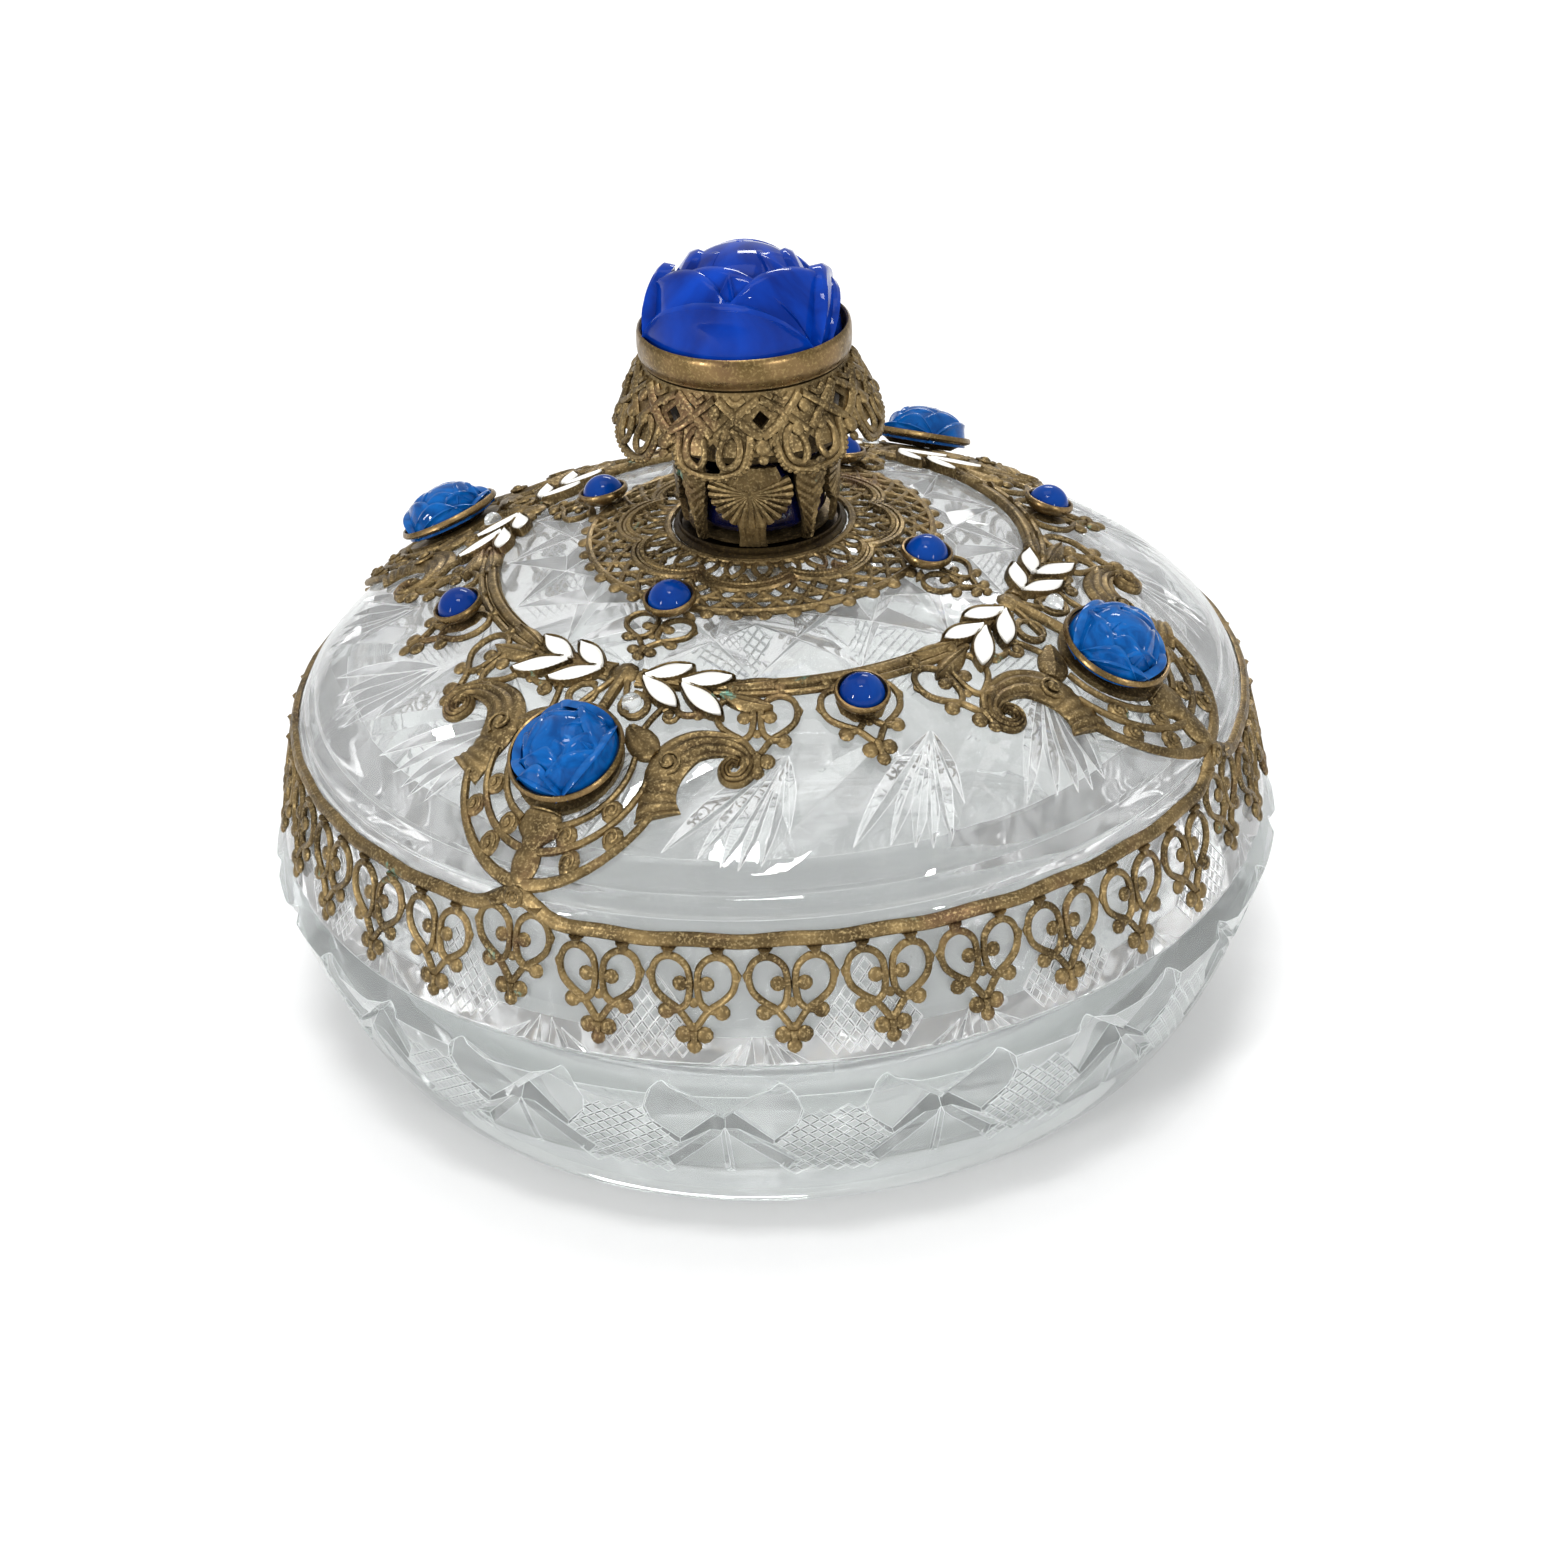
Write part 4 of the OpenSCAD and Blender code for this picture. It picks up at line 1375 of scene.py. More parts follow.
@dataclass
class Heart:
    """The stamped heart that the whole overlay repeats: two loops, six balls and a drop."""

    loop: tuple[Point, ...] = ((3.1, -7.05), (1.75, -6.95), (0.8, -6.2), (0.45, -4.8), (0.45, -3.2),
                               (0.75, -1.95), (1.7, -1.0), (2.9, -0.75), (4.1, -1.45), (4.62, -3.0),
                               (4.25, -4.7), (3.0, -6.0), (1.6, -7.0), (0.3, -8.9))

    def flat(self, inner_balls: bool = True) -> Shape:
        """One heart in the plane, hanging down from y = 0 at its band.

        Args:
            inner_balls: Whether the balls inside the loops are there.

        Returns:
            The heart.
        """
        half = [wire(self.loop, 0.42, steps=3),
                wire(((2.75, 0.3), (2.8, -0.2), (2.9, -0.7)), 0.55, steps=2, radii=(1.7, 1.05, 0.9)),
                bead(3.05, -7.15), bead(1.12, -9.8, 1.0),
                wire(((4.7, -2.3), (5.1, -2.9), (4.9, -3.5)), 0.22, steps=1)]
        if inner_balls:
            half.append(bead(1.45, -3.85, 0.9, 0.7))
            half.append(wire(((0.4, -3.9), (1.4, -3.85)), 0.45, steps=1))
        middle = [bead(0, -6.1, 0.6), bead(0, -9.0, 0.62), bead(0, -11.15, 0.85),
                  wire(((0, -9.2), (0, -11.9)), 0.5, steps=2, radii=(1.1, 0.5))]
        return joined("heart", [*both(half), *middle])


@dataclass
class Fringe:
    """The strip of hanging hearts round the lid, with an arch and a rivet under each rose."""

    hearts: int = 36
    band_h: float = 1.9
    lift: float = 2.3
    lift_spread: float = 3.4
    wave: float = 0.12

    @property
    def foot(self) -> float:
        """Height of the band's lower edge."""
        return BOX.dome_z - 0.4 * self.band_h

    def band(self) -> Shape:
        """The band, which rises over each rose's rivet and is slightly wavy.

        Returns:
            The band.
        """
        big_r, rows = BOX.skirt(self.foot), 288
        line = []
        for i in range(rows + 1):
            off = (360 * i / rows + BOX.quarter / 2) % BOX.quarter - BOX.quarter / 2
            rise = self.lift * math.exp(-(off / self.lift_spread) ** 2)
            wave = self.wave * math.cos(math.radians(self.hearts * 360 * i / rows))
            line.append((big_r * math.radians(360 * i / rows), 0.95 + rise + wave, 0.78 + 0.1 * rise))

        def top(t: float, w: float) -> float:
            """Rounded, with a rolled upper edge."""
            return 0.5 + 0.55 * (1 - w ** 4) - 0.12 * math.exp(-((w - 0.45) / 0.18) ** 2)

        band = placed(ribbon(line, top, caps=False), on_wall(BOX.rose_az, self.foot, BOX.skirt))
        return tidy_normals(band, 1e-3)

    def build(self) -> None:
        """Hangs the hearts from the band."""
        hang = on_wall(BOX.rose_az, self.foot, BOX.skirt)
        heart = Heart().flat()
        parts = [self.band()]
        low = placed(copied(heart), hang)
        high = placed(placed(heart, lambda p: Vector((p.x, p.y + self.lift, p.z))), hang)
        row = self.hearts // BOX.roses
        for k in range(self.hearts):
            parts.append(turned(copied(low if k % row else high), 360 * k / self.hearts))
        dropped(low, high)
        eye = wire(arc((0, 3.3), 1.0, 0, 340, 14), 0.3, True, 1, 0.95)
        parts += quarters(placed(joined("rivet", [eye, bead(0, 3.3, 0.5, 1.1)]), hang), 0.0)
        dressed("fringe_hearts", parts, Look.BRASS, ["fringe"])


@dataclass
class RoseMount:
    """The cast mount of a rose: a basket with studs, two fluted horns, an urn and small scrolls."""

    rose_r: float = 46.9
    ring_r: float = 34.0
    outer_r: float = 12.5
    middle_r: float = 9.9
    inner_r: float = 7.5
    horn: tuple[tuple[float, float, float], ...] = (
        (12.9, 3.1, 2.65), (12.2, 1.9, 2.25), (11.6, 0.3, 2.05), (11.2, -1.8, 2.25), (11.4, -4.0, 2.4),
        (12.6, -6.0, 2.15), (14.6, -7.2, 1.8), (16.9, -7.7, 1.45), (18.9, -7.2, 1.15), (19.9, -5.8, 1.0),
        (19.5, -4.3, 0.9), (18.2, -3.8, 0.8), (17.3, -4.7, 0.75), (17.6, -5.9, 0.6), (18.6, -6.0, 0.45))

    def horns(self) -> list[Shape]:
        """A horn of plenty with ridges at its mouth and flutes to its scroll.

        Returns:
            The horn and its scroll.
        """
        def top(t: float, w: float) -> float:
            """Cross ridges near the mouth, then flutes along the horn.

            Args:
                t: Share of the way along.
                w: Place across, from -1 to 1.

            Returns:
                The height of the upper face.
            """
            swell = 0.62 + 0.5 * (1 - w * w)
            if t < 0.2:
                return swell + 0.13 * math.sin(2 * math.pi * t / 0.05) - 0.1
            flute = min(1.0, (t - 0.2) / 0.15) * 0.15
            return swell + flute * math.cos(3.5 * math.pi * (w + 0.15)) + 0.25 * max(0.0, t - 0.55)

        line = [Vector((x, y + self.rose_r, hw)) for x, y, hw in self.horn]
        horn = ribbon(eased(line, 6), top, across=14)
        bend = (11.2, self.rose_r - 3.0)
        return [horn, *scroll(bend, 1.5, 1.4, 70, -1, 0.24, 1.2)]

    def rails(self) -> list[Shape]:
        """Half of the basket: three rails with round studs between them.

        Returns:
            The rails and studs.
        """
        m = (0, self.rose_r)
        rails = [wire(arc(m, self.outer_r, 14, 90, 10), 0.5, steps=1),
                 wire(arc(m, self.middle_r, 0, 90, 10), 0.42, steps=1),
                 wire(arc(m, self.inner_r, -18, 72, 10), 0.42, steps=1)]
        studs = []
        for radius, angle in ((11.3, 62), (11.3, 36), (8.75, 64), (8.75, 28)):
            a = math.radians(angle)
            spot = (radius * math.cos(a), self.rose_r + radius * math.sin(a))
            studs += [bead(*spot, 1.3, 0.6, 0.42), *scroll(spot, 0.95, 1.2, angle + 90, 1, 0.2, 1.0)]
        return [*rails, *studs]

    def urn(self) -> list[Shape]:
        """The urn between bezel and rivet.

        Returns:
            The urn.
        """
        line = ((0, 4.4, 1.2), (0, 5.2, 1.9), (0, 5.8, 2.0), (0, 6.4, 2.35), (0, 7.4, 2.75),
                (0, 8.3, 2.3), (0, 9.1, 1.35), (0, 9.8, 1.5), (0, 11.0, 1.7), (0, 12.0, 1.35),
                (0, 13.0, 1.1), (0, 13.6, 1.9))

        def top(t: float, w: float) -> float:
            """Round like a turned urn, with rings at its neck."""
            ring = 0.16 * sum(math.exp(-((t - c) / 0.022) ** 2) for c in (0.2, 0.26, 0.56, 0.82))
            return 0.55 + 0.75 * math.sqrt(max(0.0, 1 - w * w)) * (1 - 0.25 * t) + ring

        return [ribbon([(x, y + self.rose_r, hw) for x, y, hw in eased(line, 4)], top)]

    def scrolls(self) -> list[Shape]:
        """Half of the scrolls between the bezel and the strap ring.

        Returns:
            The scrolls, with a leaf and a ring for a crystal.
        """
        y = self.ring_r
        return [
            wire(((0.9, y + 1), (1.6, y + 2.6), (2.2, y + 3.6), (3.3, y + 5.6), (4.7, y + 5.4),
                  (5.2, y + 4.0), (4.2, y + 2.6), (2.6, y + 2.3)), 0.4),
            *scroll((8.3, y + 4.3), 1.25, 1.3, 200, 1, 0.33, 0.7),
            wire(((3.6, y + 1.6), (5.4, y + 2.7), (6.9, y + 3.2), (8.0, y + 3.1), (9.6, y + 3.5),
                  (11.0, y + 3.0)), 0.42),
            wire(((6.9, y + 3.2), (6.4, y + 5.2), (6.2, y + 6.8)), 0.4), bead(11.2, y + 2.8, 0.85),
            ribbon(eased([(4.6, 41.0, 0.7), (6.0, 41.9, 1.6), (7.8, 42.9, 1.7), (9.2, 43.4, 0.9)], 4),
                   lambda t, w: 0.7 + 0.5 * (1 - w * w) + 0.1 * math.cos(5 * math.pi * w)),
            wire(arc((3.35, 38.1), 1.6, 0, 330, 12), 0.32, True, 1, 0.75)]

    def build(self) -> None:
        """Builds four mounts."""
        pad = spun("pad", [(0, 0), (6.2, 0), (6.2, 0.8), (0, 0.8)], 32)
        placed(pad, lambda p: Vector((p.x, p.y + self.rose_r, p.z + 0.25)))
        hub = [bead(0, self.ring_r, 1.75, 0.7, 0.32), wire(((0, 33.2), (0, 36.0), (0, 41.0)), 0.7)]
        halves = both([*self.horns(), *self.rails(), *self.scrolls()])
        flat = joined("mount", [*halves, *self.urn(), pad, *hub])
        for k, piece in enumerate(quarters(tidy_normals(placed(flat, on_dome(0)))), 1):
            dressed(f"cast_mount_{k}", [piece], Look.BRASS, [f"rose_mount_{k}"])


@dataclass
class Carving:
    """A rose carved from one blue stone: overlapping petals on a full dome.

    Attributes:
        r: Radius of the stone.
        h: Height of its dome.
        full: Fullness of the dome.
        petals: Azimuth, half width and rim angle from the top (degrees), depth share and arch of each petal.
        core_depth: Share of the dome that the stone between the petals lies under them.
    """

    r: float
    h: float
    full: float
    petals: tuple[tuple[float, float, float, float, float], ...]
    core_depth: float = 0.16

    def spot(self, az: float, phi: float, shrink: float) -> Vector:
        """A point of the dome shrunk by a share, at an azimuth and an angle from the top in radians.

        Inner petals stand closer to the middle but nearly as high, as the bud of a rose does.

        Args:
            az: Azimuth in radians.
            phi: Angle from the top in radians.
            shrink: Share that it lies under the dome.

        Returns:
            The point.
        """
        s = abs(math.sin(phi)) ** (2 / self.full) * (1 - 1.7 * shrink)
        up = abs(math.cos(phi)) ** (2 / self.full) * (1 - 0.35 * shrink)
        z = self.h * up if phi < math.pi / 2 else -self.h * (phi - math.pi / 2)
        return Vector((self.r * s * math.sin(az), -self.r * s * math.cos(az), z))

    def petal(self, az: float, half: float, rim: float, depth: float, arch: float) -> Shape:
        """One petal: a curved scale with a rounded rim that curls a little outwards.

        Args:
            az: Azimuth of its middle in degrees.
            half: Half of its width in degrees.
            rim: Angle of its rim from the dome's top in degrees.
            depth: Share of the dome that it lies under the surface.
            arch: Power of its rim's arch, where more is squarer.

        Returns:
            The petal.
        """
        across, along = 22, 12
        foot, points, faces = 98.0, [], []
        for side in (0, 1):
            for i in range(along + 1):
                t = i / along
                for j in range(across + 1):
                    u = 2 * j / across - 1
                    edge_phi = rim + (foot - rim) * abs(u) ** arch
                    phi = foot + (edge_phi - foot) * t
                    curl = 0.045 * math.exp(-((1 - t) / 0.13) ** 2) - 0.03 * math.exp(-((1 - t) / 0.035) ** 2)
                    hollow = -0.03 * math.sin(math.pi * min(1.0, t * 1.15)) * (1 - u * u)
                    face, back = depth - (curl + hollow) * 0.8, depth + 0.075 + 0.05 * (1 - t)
                    points.append(self.spot(math.radians(az + half * u), math.radians(max(phi, 1.0)),
                                            back if side else face))
        row, deep = across + 1, (along + 1) * (across + 1)
        for i in range(along):
            for j in range(across):
                a = i * row + j
                faces += [(a, a + 1, a + row + 1, a + row),
                          (deep + a, deep + a + row, deep + a + row + 1, deep + a + 1)]
        for j in range(across):
            a = along * row + j
            faces += [(a, a + 1, deep + a + 1, deep + a), (j, deep + j, deep + j + 1, j + 1)]
        for i in range(along):
            for j in (0, across):
                a = i * row + j
                faces.append((a, a + row, deep + a + row, deep + a))
        return mesh_piece("petal", points, faces)

    def core(self, shrink: float) -> Shape:
        """The stone under the petals.

        Args:
            shrink: Share that it lies under the dome.

        Returns:
            The core.
        """
        steps, foot = 24, -1.2
        dome = [self.spot(0, math.pi / 2 * (1 - i / steps), shrink) for i in range(steps + 1)]
        outline = [(0.0, foot), (self.r * (1 - shrink), foot), *((abs(p.y), p.z) for p in dome[:-1])]
        return spun("core", [*outline, (0.0, dome[-1].z)], 64)

    def made(self, name: str) -> Shape:
        """The whole carving, standing on z = 0."""
        petals = [self.petal(*p) for p in self.petals]
        return tidy_normals(joined(name, [self.core(self.core_depth), *petals]))


STONE_EDGE = 50.0
"""Angle in degrees from which an edge of a stone or its cup is sharp."""

PETALS = (
    (-17.0, 66.0, 53.5, 0.0, 2.4), (100.0, 52.0, 66.0, 0.02, 2.2), (168.0, 60.0, 76.0, 0.03, 2.3),
    (-120.0, 58.0, 70.0, 0.02, 2.3), (84.0, 44.0, 47.0, 0.01, 2.0), (-104.0, 34.0, 47.0, 0.01, 2.0),
    (-50.0, 66.0, 34.0, 0.045, 2.2), (36.0, 70.0, 33.5, 0.05, 2.6), (128.0, 50.0, 46.0, 0.12, 2.2),
    (-160.0, 50.0, 46.0, 0.12, 2.2), (-12.0, 17.0, 30.0, 0.07, 1.2), (-25.0, 76.0, 26.5, 0.085, 2.6),
    (42.0, 34.0, 15.0, 0.11, 1.3), (-98.0, 60.0, 24.0, 0.10, 2.2), (96.0, 60.0, 28.0, 0.12, 2.2),
    (175.0, 70.0, 27.0, 0.13, 2.2), (-70.0, 60.0, 13.0, 0.16, 2.2), (60.0, 60.0, 11.0, 0.17, 2.2),
    (180.0, 60.0, 10.0, 0.17, 2.2))


@dataclass
class RoseStones:
    """Four bezels with carved roses on the mounts."""

    rose_r: float = 46.9
    bezel_r: float = 7.0
    bezel_h: float = 2.1
    wall: float = 0.5
    base: float = 1.1
    play: float = 0.1
    seat_z: float = 1.2
    top_z: float = 5.95
    turn: float = 1.7

    def bezel(self) -> Shape:
        """A round cup with a rim that is burnished over the stone.

        Returns:
            The bezel, on z = 0.
        """
        r, t, h = self.bezel_r, self.wall, self.bezel_h
        return spun("bezel", [
            (0, 0), (r - 2.6, 0), (r - 1.9, 0.5), (r - 0.8, 1.0), (r - 0.15, 1.3), (r, h - 0.6),
            (r - 0.1, h - 0.2), (r - 0.3, h), (r - t, h - 0.08), (r - t - 0.05, h - 0.5), (r - t, 1.4),
            (r - t - 0.6, 1.15), (0, 1.15)], 96)

    def build(self) -> None:
        """Sets four stones, each turned another way."""
        bezel, stone_r = self.bezel(), self.bezel_r - self.wall - self.play
        stone = Carving(stone_r, self.top_z - self.seat_z, 2.25, PETALS).made("stone")
        placed(stone, lambda p: Vector((p.x, p.y, max(p.z, -0.5) + self.seat_z)))
        for k in range(1, BOX.roses + 1):
            here = seat(BOX.rose_az + (k - 1) * BOX.quarter, self.rose_r, self.base)
            rim, rose = copied(bezel), copied(stone)
            rim.data.transform(here)
            rose.data.transform(here @ Matrix.Rotation(self.turn * k, 4, "Z"))
            dressed(f"round_bezel_{k}", [rim], Look.WORN_BRASS, [f"rose_bezel_{k}"])
            dressed(f"carved_rose_{k}", [rose], Look.ROSE, [f"rose_stone_{k}"], "rose_stone", STONE_EDGE)
        dropped(bezel, stone)


@dataclass
class SmallStones:
    """Eight round stones in cups, four on the heart strips and four at the rosette's edge."""

    diameter: float = 5.4
    cup_h: float = 1.7
    wall: float = 0.5
    play: float = 0.1
    base: float = 1.35
    seat_z: float = 0.75
    outer_r: float = 38.4
    inner_r: float = 22.6

    def cup(self) -> Shape:
        """A small cup with a rolled rim.

        Returns:
            The cup, on z = 0.
        """
        r, h = self.diameter / 2 + self.play + self.wall, self.cup_h
        return spun("cup", [
            (0, 0), (r - 1.1, 0), (r - 0.5, 0.4), (r - 0.08, 0.9), (r, h - 0.35), (r - 0.15, h - 0.05),
            (r - 0.38, h), (r - self.wall - 0.02, h - 0.2), (r - self.wall, 0.6), (0, 0.6)], 48)

    def stone(self) -> Shape:
        """A high-domed round stone.

        Returns:
            The stone, in its cup's frame.
        """
        r, z, high = self.diameter / 2, self.seat_z, 0.98
        dome = [(r * math.sin(a), z + r * high * math.cos(a))
                for a in (math.radians(90 - 7.5 * i) for i in range(12))]
        return spun("cabochon", [(0, z), (r - 0.1, z), *dome, (0, z + r * high)], 48)

    def build(self) -> None:
        """Sets the eight stones."""
        cup, stone = self.cup(), self.stone()
        kinds = ((cup, "cup", Look.WORN_BRASS, "brass"), (stone, "stone", Look.ROUND, "round_stone"))
        for row, r, shift in (("outer", self.outer_r, 0.5), ("inner", self.inner_r, 0.0)):
            for k in range(1, BOX.roses + 1):
                here = seat(BOX.rose_az + (k - 1 + shift) * BOX.quarter, r, self.base)
                for what, kind, look, slot in kinds:
                    piece = copied(what)
                    piece.data.transform(here)
                    dressed(f"set_{row}_{kind}_{k}", [piece], look, [f"{row}_{kind}_{k}"], slot, STONE_EDGE)
        dropped(cup, stone)


@dataclass
class Ring:
    """The strap ring, the strips of three hearts outside it and the single hearts inside it."""

    ring_r: float = 34.0
    half_w: float = 0.9
    gap: float = 3.0
    strip_r: float = 35.0
    pitch: float = 18.0
    arm_r: float = 23.3
    arm_scale: Point = (0.95, 0.69)

    def strap(self) -> Shape:
        """One curved strap with a groove along each edge, wider towards its ends.

        Returns:
            The strap.
        """
        line = []
        for i in range(41):
            t = i / 40
            a = math.radians(self.gap + (90 - 2 * self.gap) * t)
            width = self.half_w + 0.5 * abs(2 * t - 1) ** 6
            line.append((self.ring_r * math.sin(a), self.ring_r * math.cos(a), width))

        def top(t: float, w: float) -> float:
            """Rounded between two grooves."""
            return 1.0 - 0.28 * math.exp(-((abs(w) - 0.66) / 0.13) ** 2) - 0.35 * w ** 6 + 0.1 * (1 - w * w)

        return tidy_normals(placed(ribbon(line, top, across=12), on_dome(0)))

    def strip(self) -> Shape:
        """Three hearts side by side on a wire, the middle one round a stone.

        Returns:
            The strip.
        """
        line = arc((0, 0), self.strip_r + 0.35, 90 - 1.45 * self.pitch, 90 + 1.45 * self.pitch, 24)
        parts = [placed(wire(line, 0.45, steps=1), on_dome(0))]
        for k in (-1, 0, 1):
            heart = placed(Heart().flat(k != 0), lambda p: Vector((p.x, self.strip_r - p.y, p.z)))
            parts.append(placed(heart, on_dome(k * self.pitch)))
        base = placed(bead(0, 38.4, 2.9, 0.65, 0.15), on_dome(0))
        return tidy_normals(joined("strip", [*parts, base]))

    def arm(self) -> Shape:
        """One heart between rosette and ring.

        Returns:
            The heart.
        """
        sx, sy = self.arm_scale
        heart = placed(Heart().flat(), lambda p: Vector((p.x * sx, self.arm_r - p.y * sy, p.z)))
        return tidy_normals(placed(heart, on_dome(0)))

    def build(self) -> None:
        """Builds the ring and its hearts."""
        for what, start, name, node in ((self.strap(), 0.0, "ring_strap", "strap"),
                                        (self.strip(), BOX.quarter / 2, "heart_strip", "heart_plate"),
                                        (self.arm(), 0.0, "arm_heart", "inner_arm")):
            for k, piece in enumerate(quarters(what, BOX.rose_az + start), 1):
                dressed(f"{name}_{k}", [piece], Look.BRASS, [f"{node}_{k}"])


@dataclass
class Sprays:
    """Enamelled leaves in pairs across the ring, on brass leaves with a notched edge."""

    leaves: tuple[tuple[float, float, float, float, float], ...] = (
        (5.7, 35.7, 6.2, 1.05, 25), (5.2, 32.6, 5.4, 1.05, -33),
        (10.8, 35.1, 6.6, 1.1, 21), (10.0, 32.2, 5.7, 1.05, -27))
    bare: tuple[tuple[float, float, float, float, float], ...] = (
        (15.6, 33.2, 6.4, 1.2, -8), (14.9, 30.6, 6.0, 1.0, -32))

    def leaf(self, x: float, y: float, length: float, half: float, angle: float, low: float, high: float,
             notch: float = 0.0, vein: float = 0.0, rim: float = 0.0) -> Shape:
        """One pointed leaf with a crowned face.

        Args:
            x: Middle of the leaf across the pattern.
            y: Middle of the leaf outwards.
            length: Its length.
            half: Half its width.
            angle: Direction of its length in degrees.
            low: Height of its lower face.
            high: Height of its middle.
            notch: Depth of the notches along its edge.
            vein: Depth of its middle vein.
            rim: Height of the rim round it.

        Returns:
            The leaf.
        """
        a, rows = math.radians(angle), 26
        line = []
        for i in range(rows + 1):
            t = i / rows
            width = half * (math.sin(math.pi * min(1.0, 0.03 + 0.97 * t ** 1.15)) ** 0.75) + 0.04
            width += notch * (i % 2)
            line.append((x + (t - 0.5) * length * math.cos(a), y + (t - 0.5) * length * math.sin(a), width))

        def top(t: float, w: float) -> float:
            """Crowned, with an optional vein and an optional rim."""
            crown = low + (high - low) * (0.35 + 0.65 * (1 - w * w)) - vein * math.exp(-(w / 0.2) ** 2)
            return crown + rim * math.exp(-((abs(w) - 0.88) / 0.1) ** 2)

        return ribbon(line, top, low, 16 if rim else 8)

    def build(self) -> None:
        """Builds white leaves and the brass under them."""
        white = [self.leaf(x, y, n, h - 0.02, a, 1.1, 1.75) for x, y, n, h, a in self.leaves]
        under = [self.leaf(x, y, n + 0.9, h + 0.26, a, 0.35, 1.15, 0.08, rim=0.8)
                 for x, y, n, h, a in self.leaves]
        under += [self.leaf(*spec, 0.3, 1.5, 0.0, 0.3) for spec in self.bare]
        under += [wire(((2.2, 34.0), (8.2, 33.4), (14.0, 31.6), (18.0, 29.4)), 0.5)]
        enamel = tidy_normals(placed(joined("enamel", both(white)), on_dome(0)))
        brass = tidy_normals(placed(joined("under", both(under)), on_dome(0)))
        dressed("enamel_sprays", quarters(enamel), Look.ENAMEL, ["enamel_leaves"], "white_enamel")
        dressed("brass_sprays", quarters(brass), Look.BRASS, [])


@dataclass
class Rosette:
    """The pierced disc round the knob's foot, with a lobed rope of three wires."""

    collar_r: float = 11.0
    rim_r: float = 21.9
    lobes: int = 8
    peak_r: float = 16.6
    cusp_r: float = 13.9
    lobe_az: float = -8.7
    crossings: int = 40
    petals: int = 24

    def rope(self, shift: float, radius: float) -> Shape:
        """One lobed rope, made of a wire whose thickness swells like twisted strands.

        Args:
            shift: How far it lies outside the lobed line.
            radius: Radius of its wire.

        Returns:
            The rope.
        """
        count = 480
        line, shares = [], []
        for i in range(count):
            a = 2 * math.pi * i / count
            lobe = abs(math.cos(self.lobes / 2 * (a - math.radians(self.lobe_az))))
            r = self.cusp_r + (self.peak_r - self.cusp_r) * lobe ** 0.55 + shift
            line.append((r * math.sin(a), r * math.cos(a), 0.95))
            shares.append(0.8 + 0.2 * (i % 2))
        return tube(line, radius, True, 1, shares)

    @staticmethod
    def polar(r: float, az: float) -> Point:
        """A place in the pattern at a plan radius and azimuth."""
        return r * math.sin(math.radians(az)), r * math.cos(math.radians(az))

    def build(self) -> None:
        """Builds the rosette."""
        parts = [self.rope(0.0, 0.5), self.rope(1.15, 0.45), self.rope(0.55, 0.3)]
        step = 360 / self.crossings
        lattice = [wire([self.polar(14.6 + 7.3 * t, hand * (-1.1 + 2.2 * t) * step)
                         for t in (0, 0.25, 0.5, 0.75, 1)], 0.4, steps=2) for hand in (-1, 1)]
        lattice += [bead(*self.polar(self.rim_r + 0.25, 0), 0.95, 0.65, 0.45),
                    bead(*self.polar(18.2, 0), 0.55, 0.8, 0.6)]
        parts += spread(joined("lattice", lattice), self.crossings, step, 0)
        step = 360 / self.petals
        loop = ((11.3, 0), (12.3, 4.2), (13.6, 4.0), (14.9, 0), (13.6, -4.0), (12.3, -4.2))
        parts += spread(wire([self.polar(r, a) for r, a in loop], 0.36, True, 3), self.petals, step, 0)
        parts += spread(bead(*self.polar(12.4, 0), 0.5, 0.65, 0.6), self.petals, step, step / 2)
        for r, thick in ((self.rim_r - 0.35, 0.5), (19.3, 0.3), (self.collar_r + 0.55, 0.5)):
            parts.append(wire(arc((0, 0), r, 0, 357.5, 143), thick, True, 1))
        disc = tidy_normals(placed(joined("pierced_rosette", parts), on_dome(0)))
        dressed("pierced_rosette", [disc], Look.BRASS, ["rosette"])


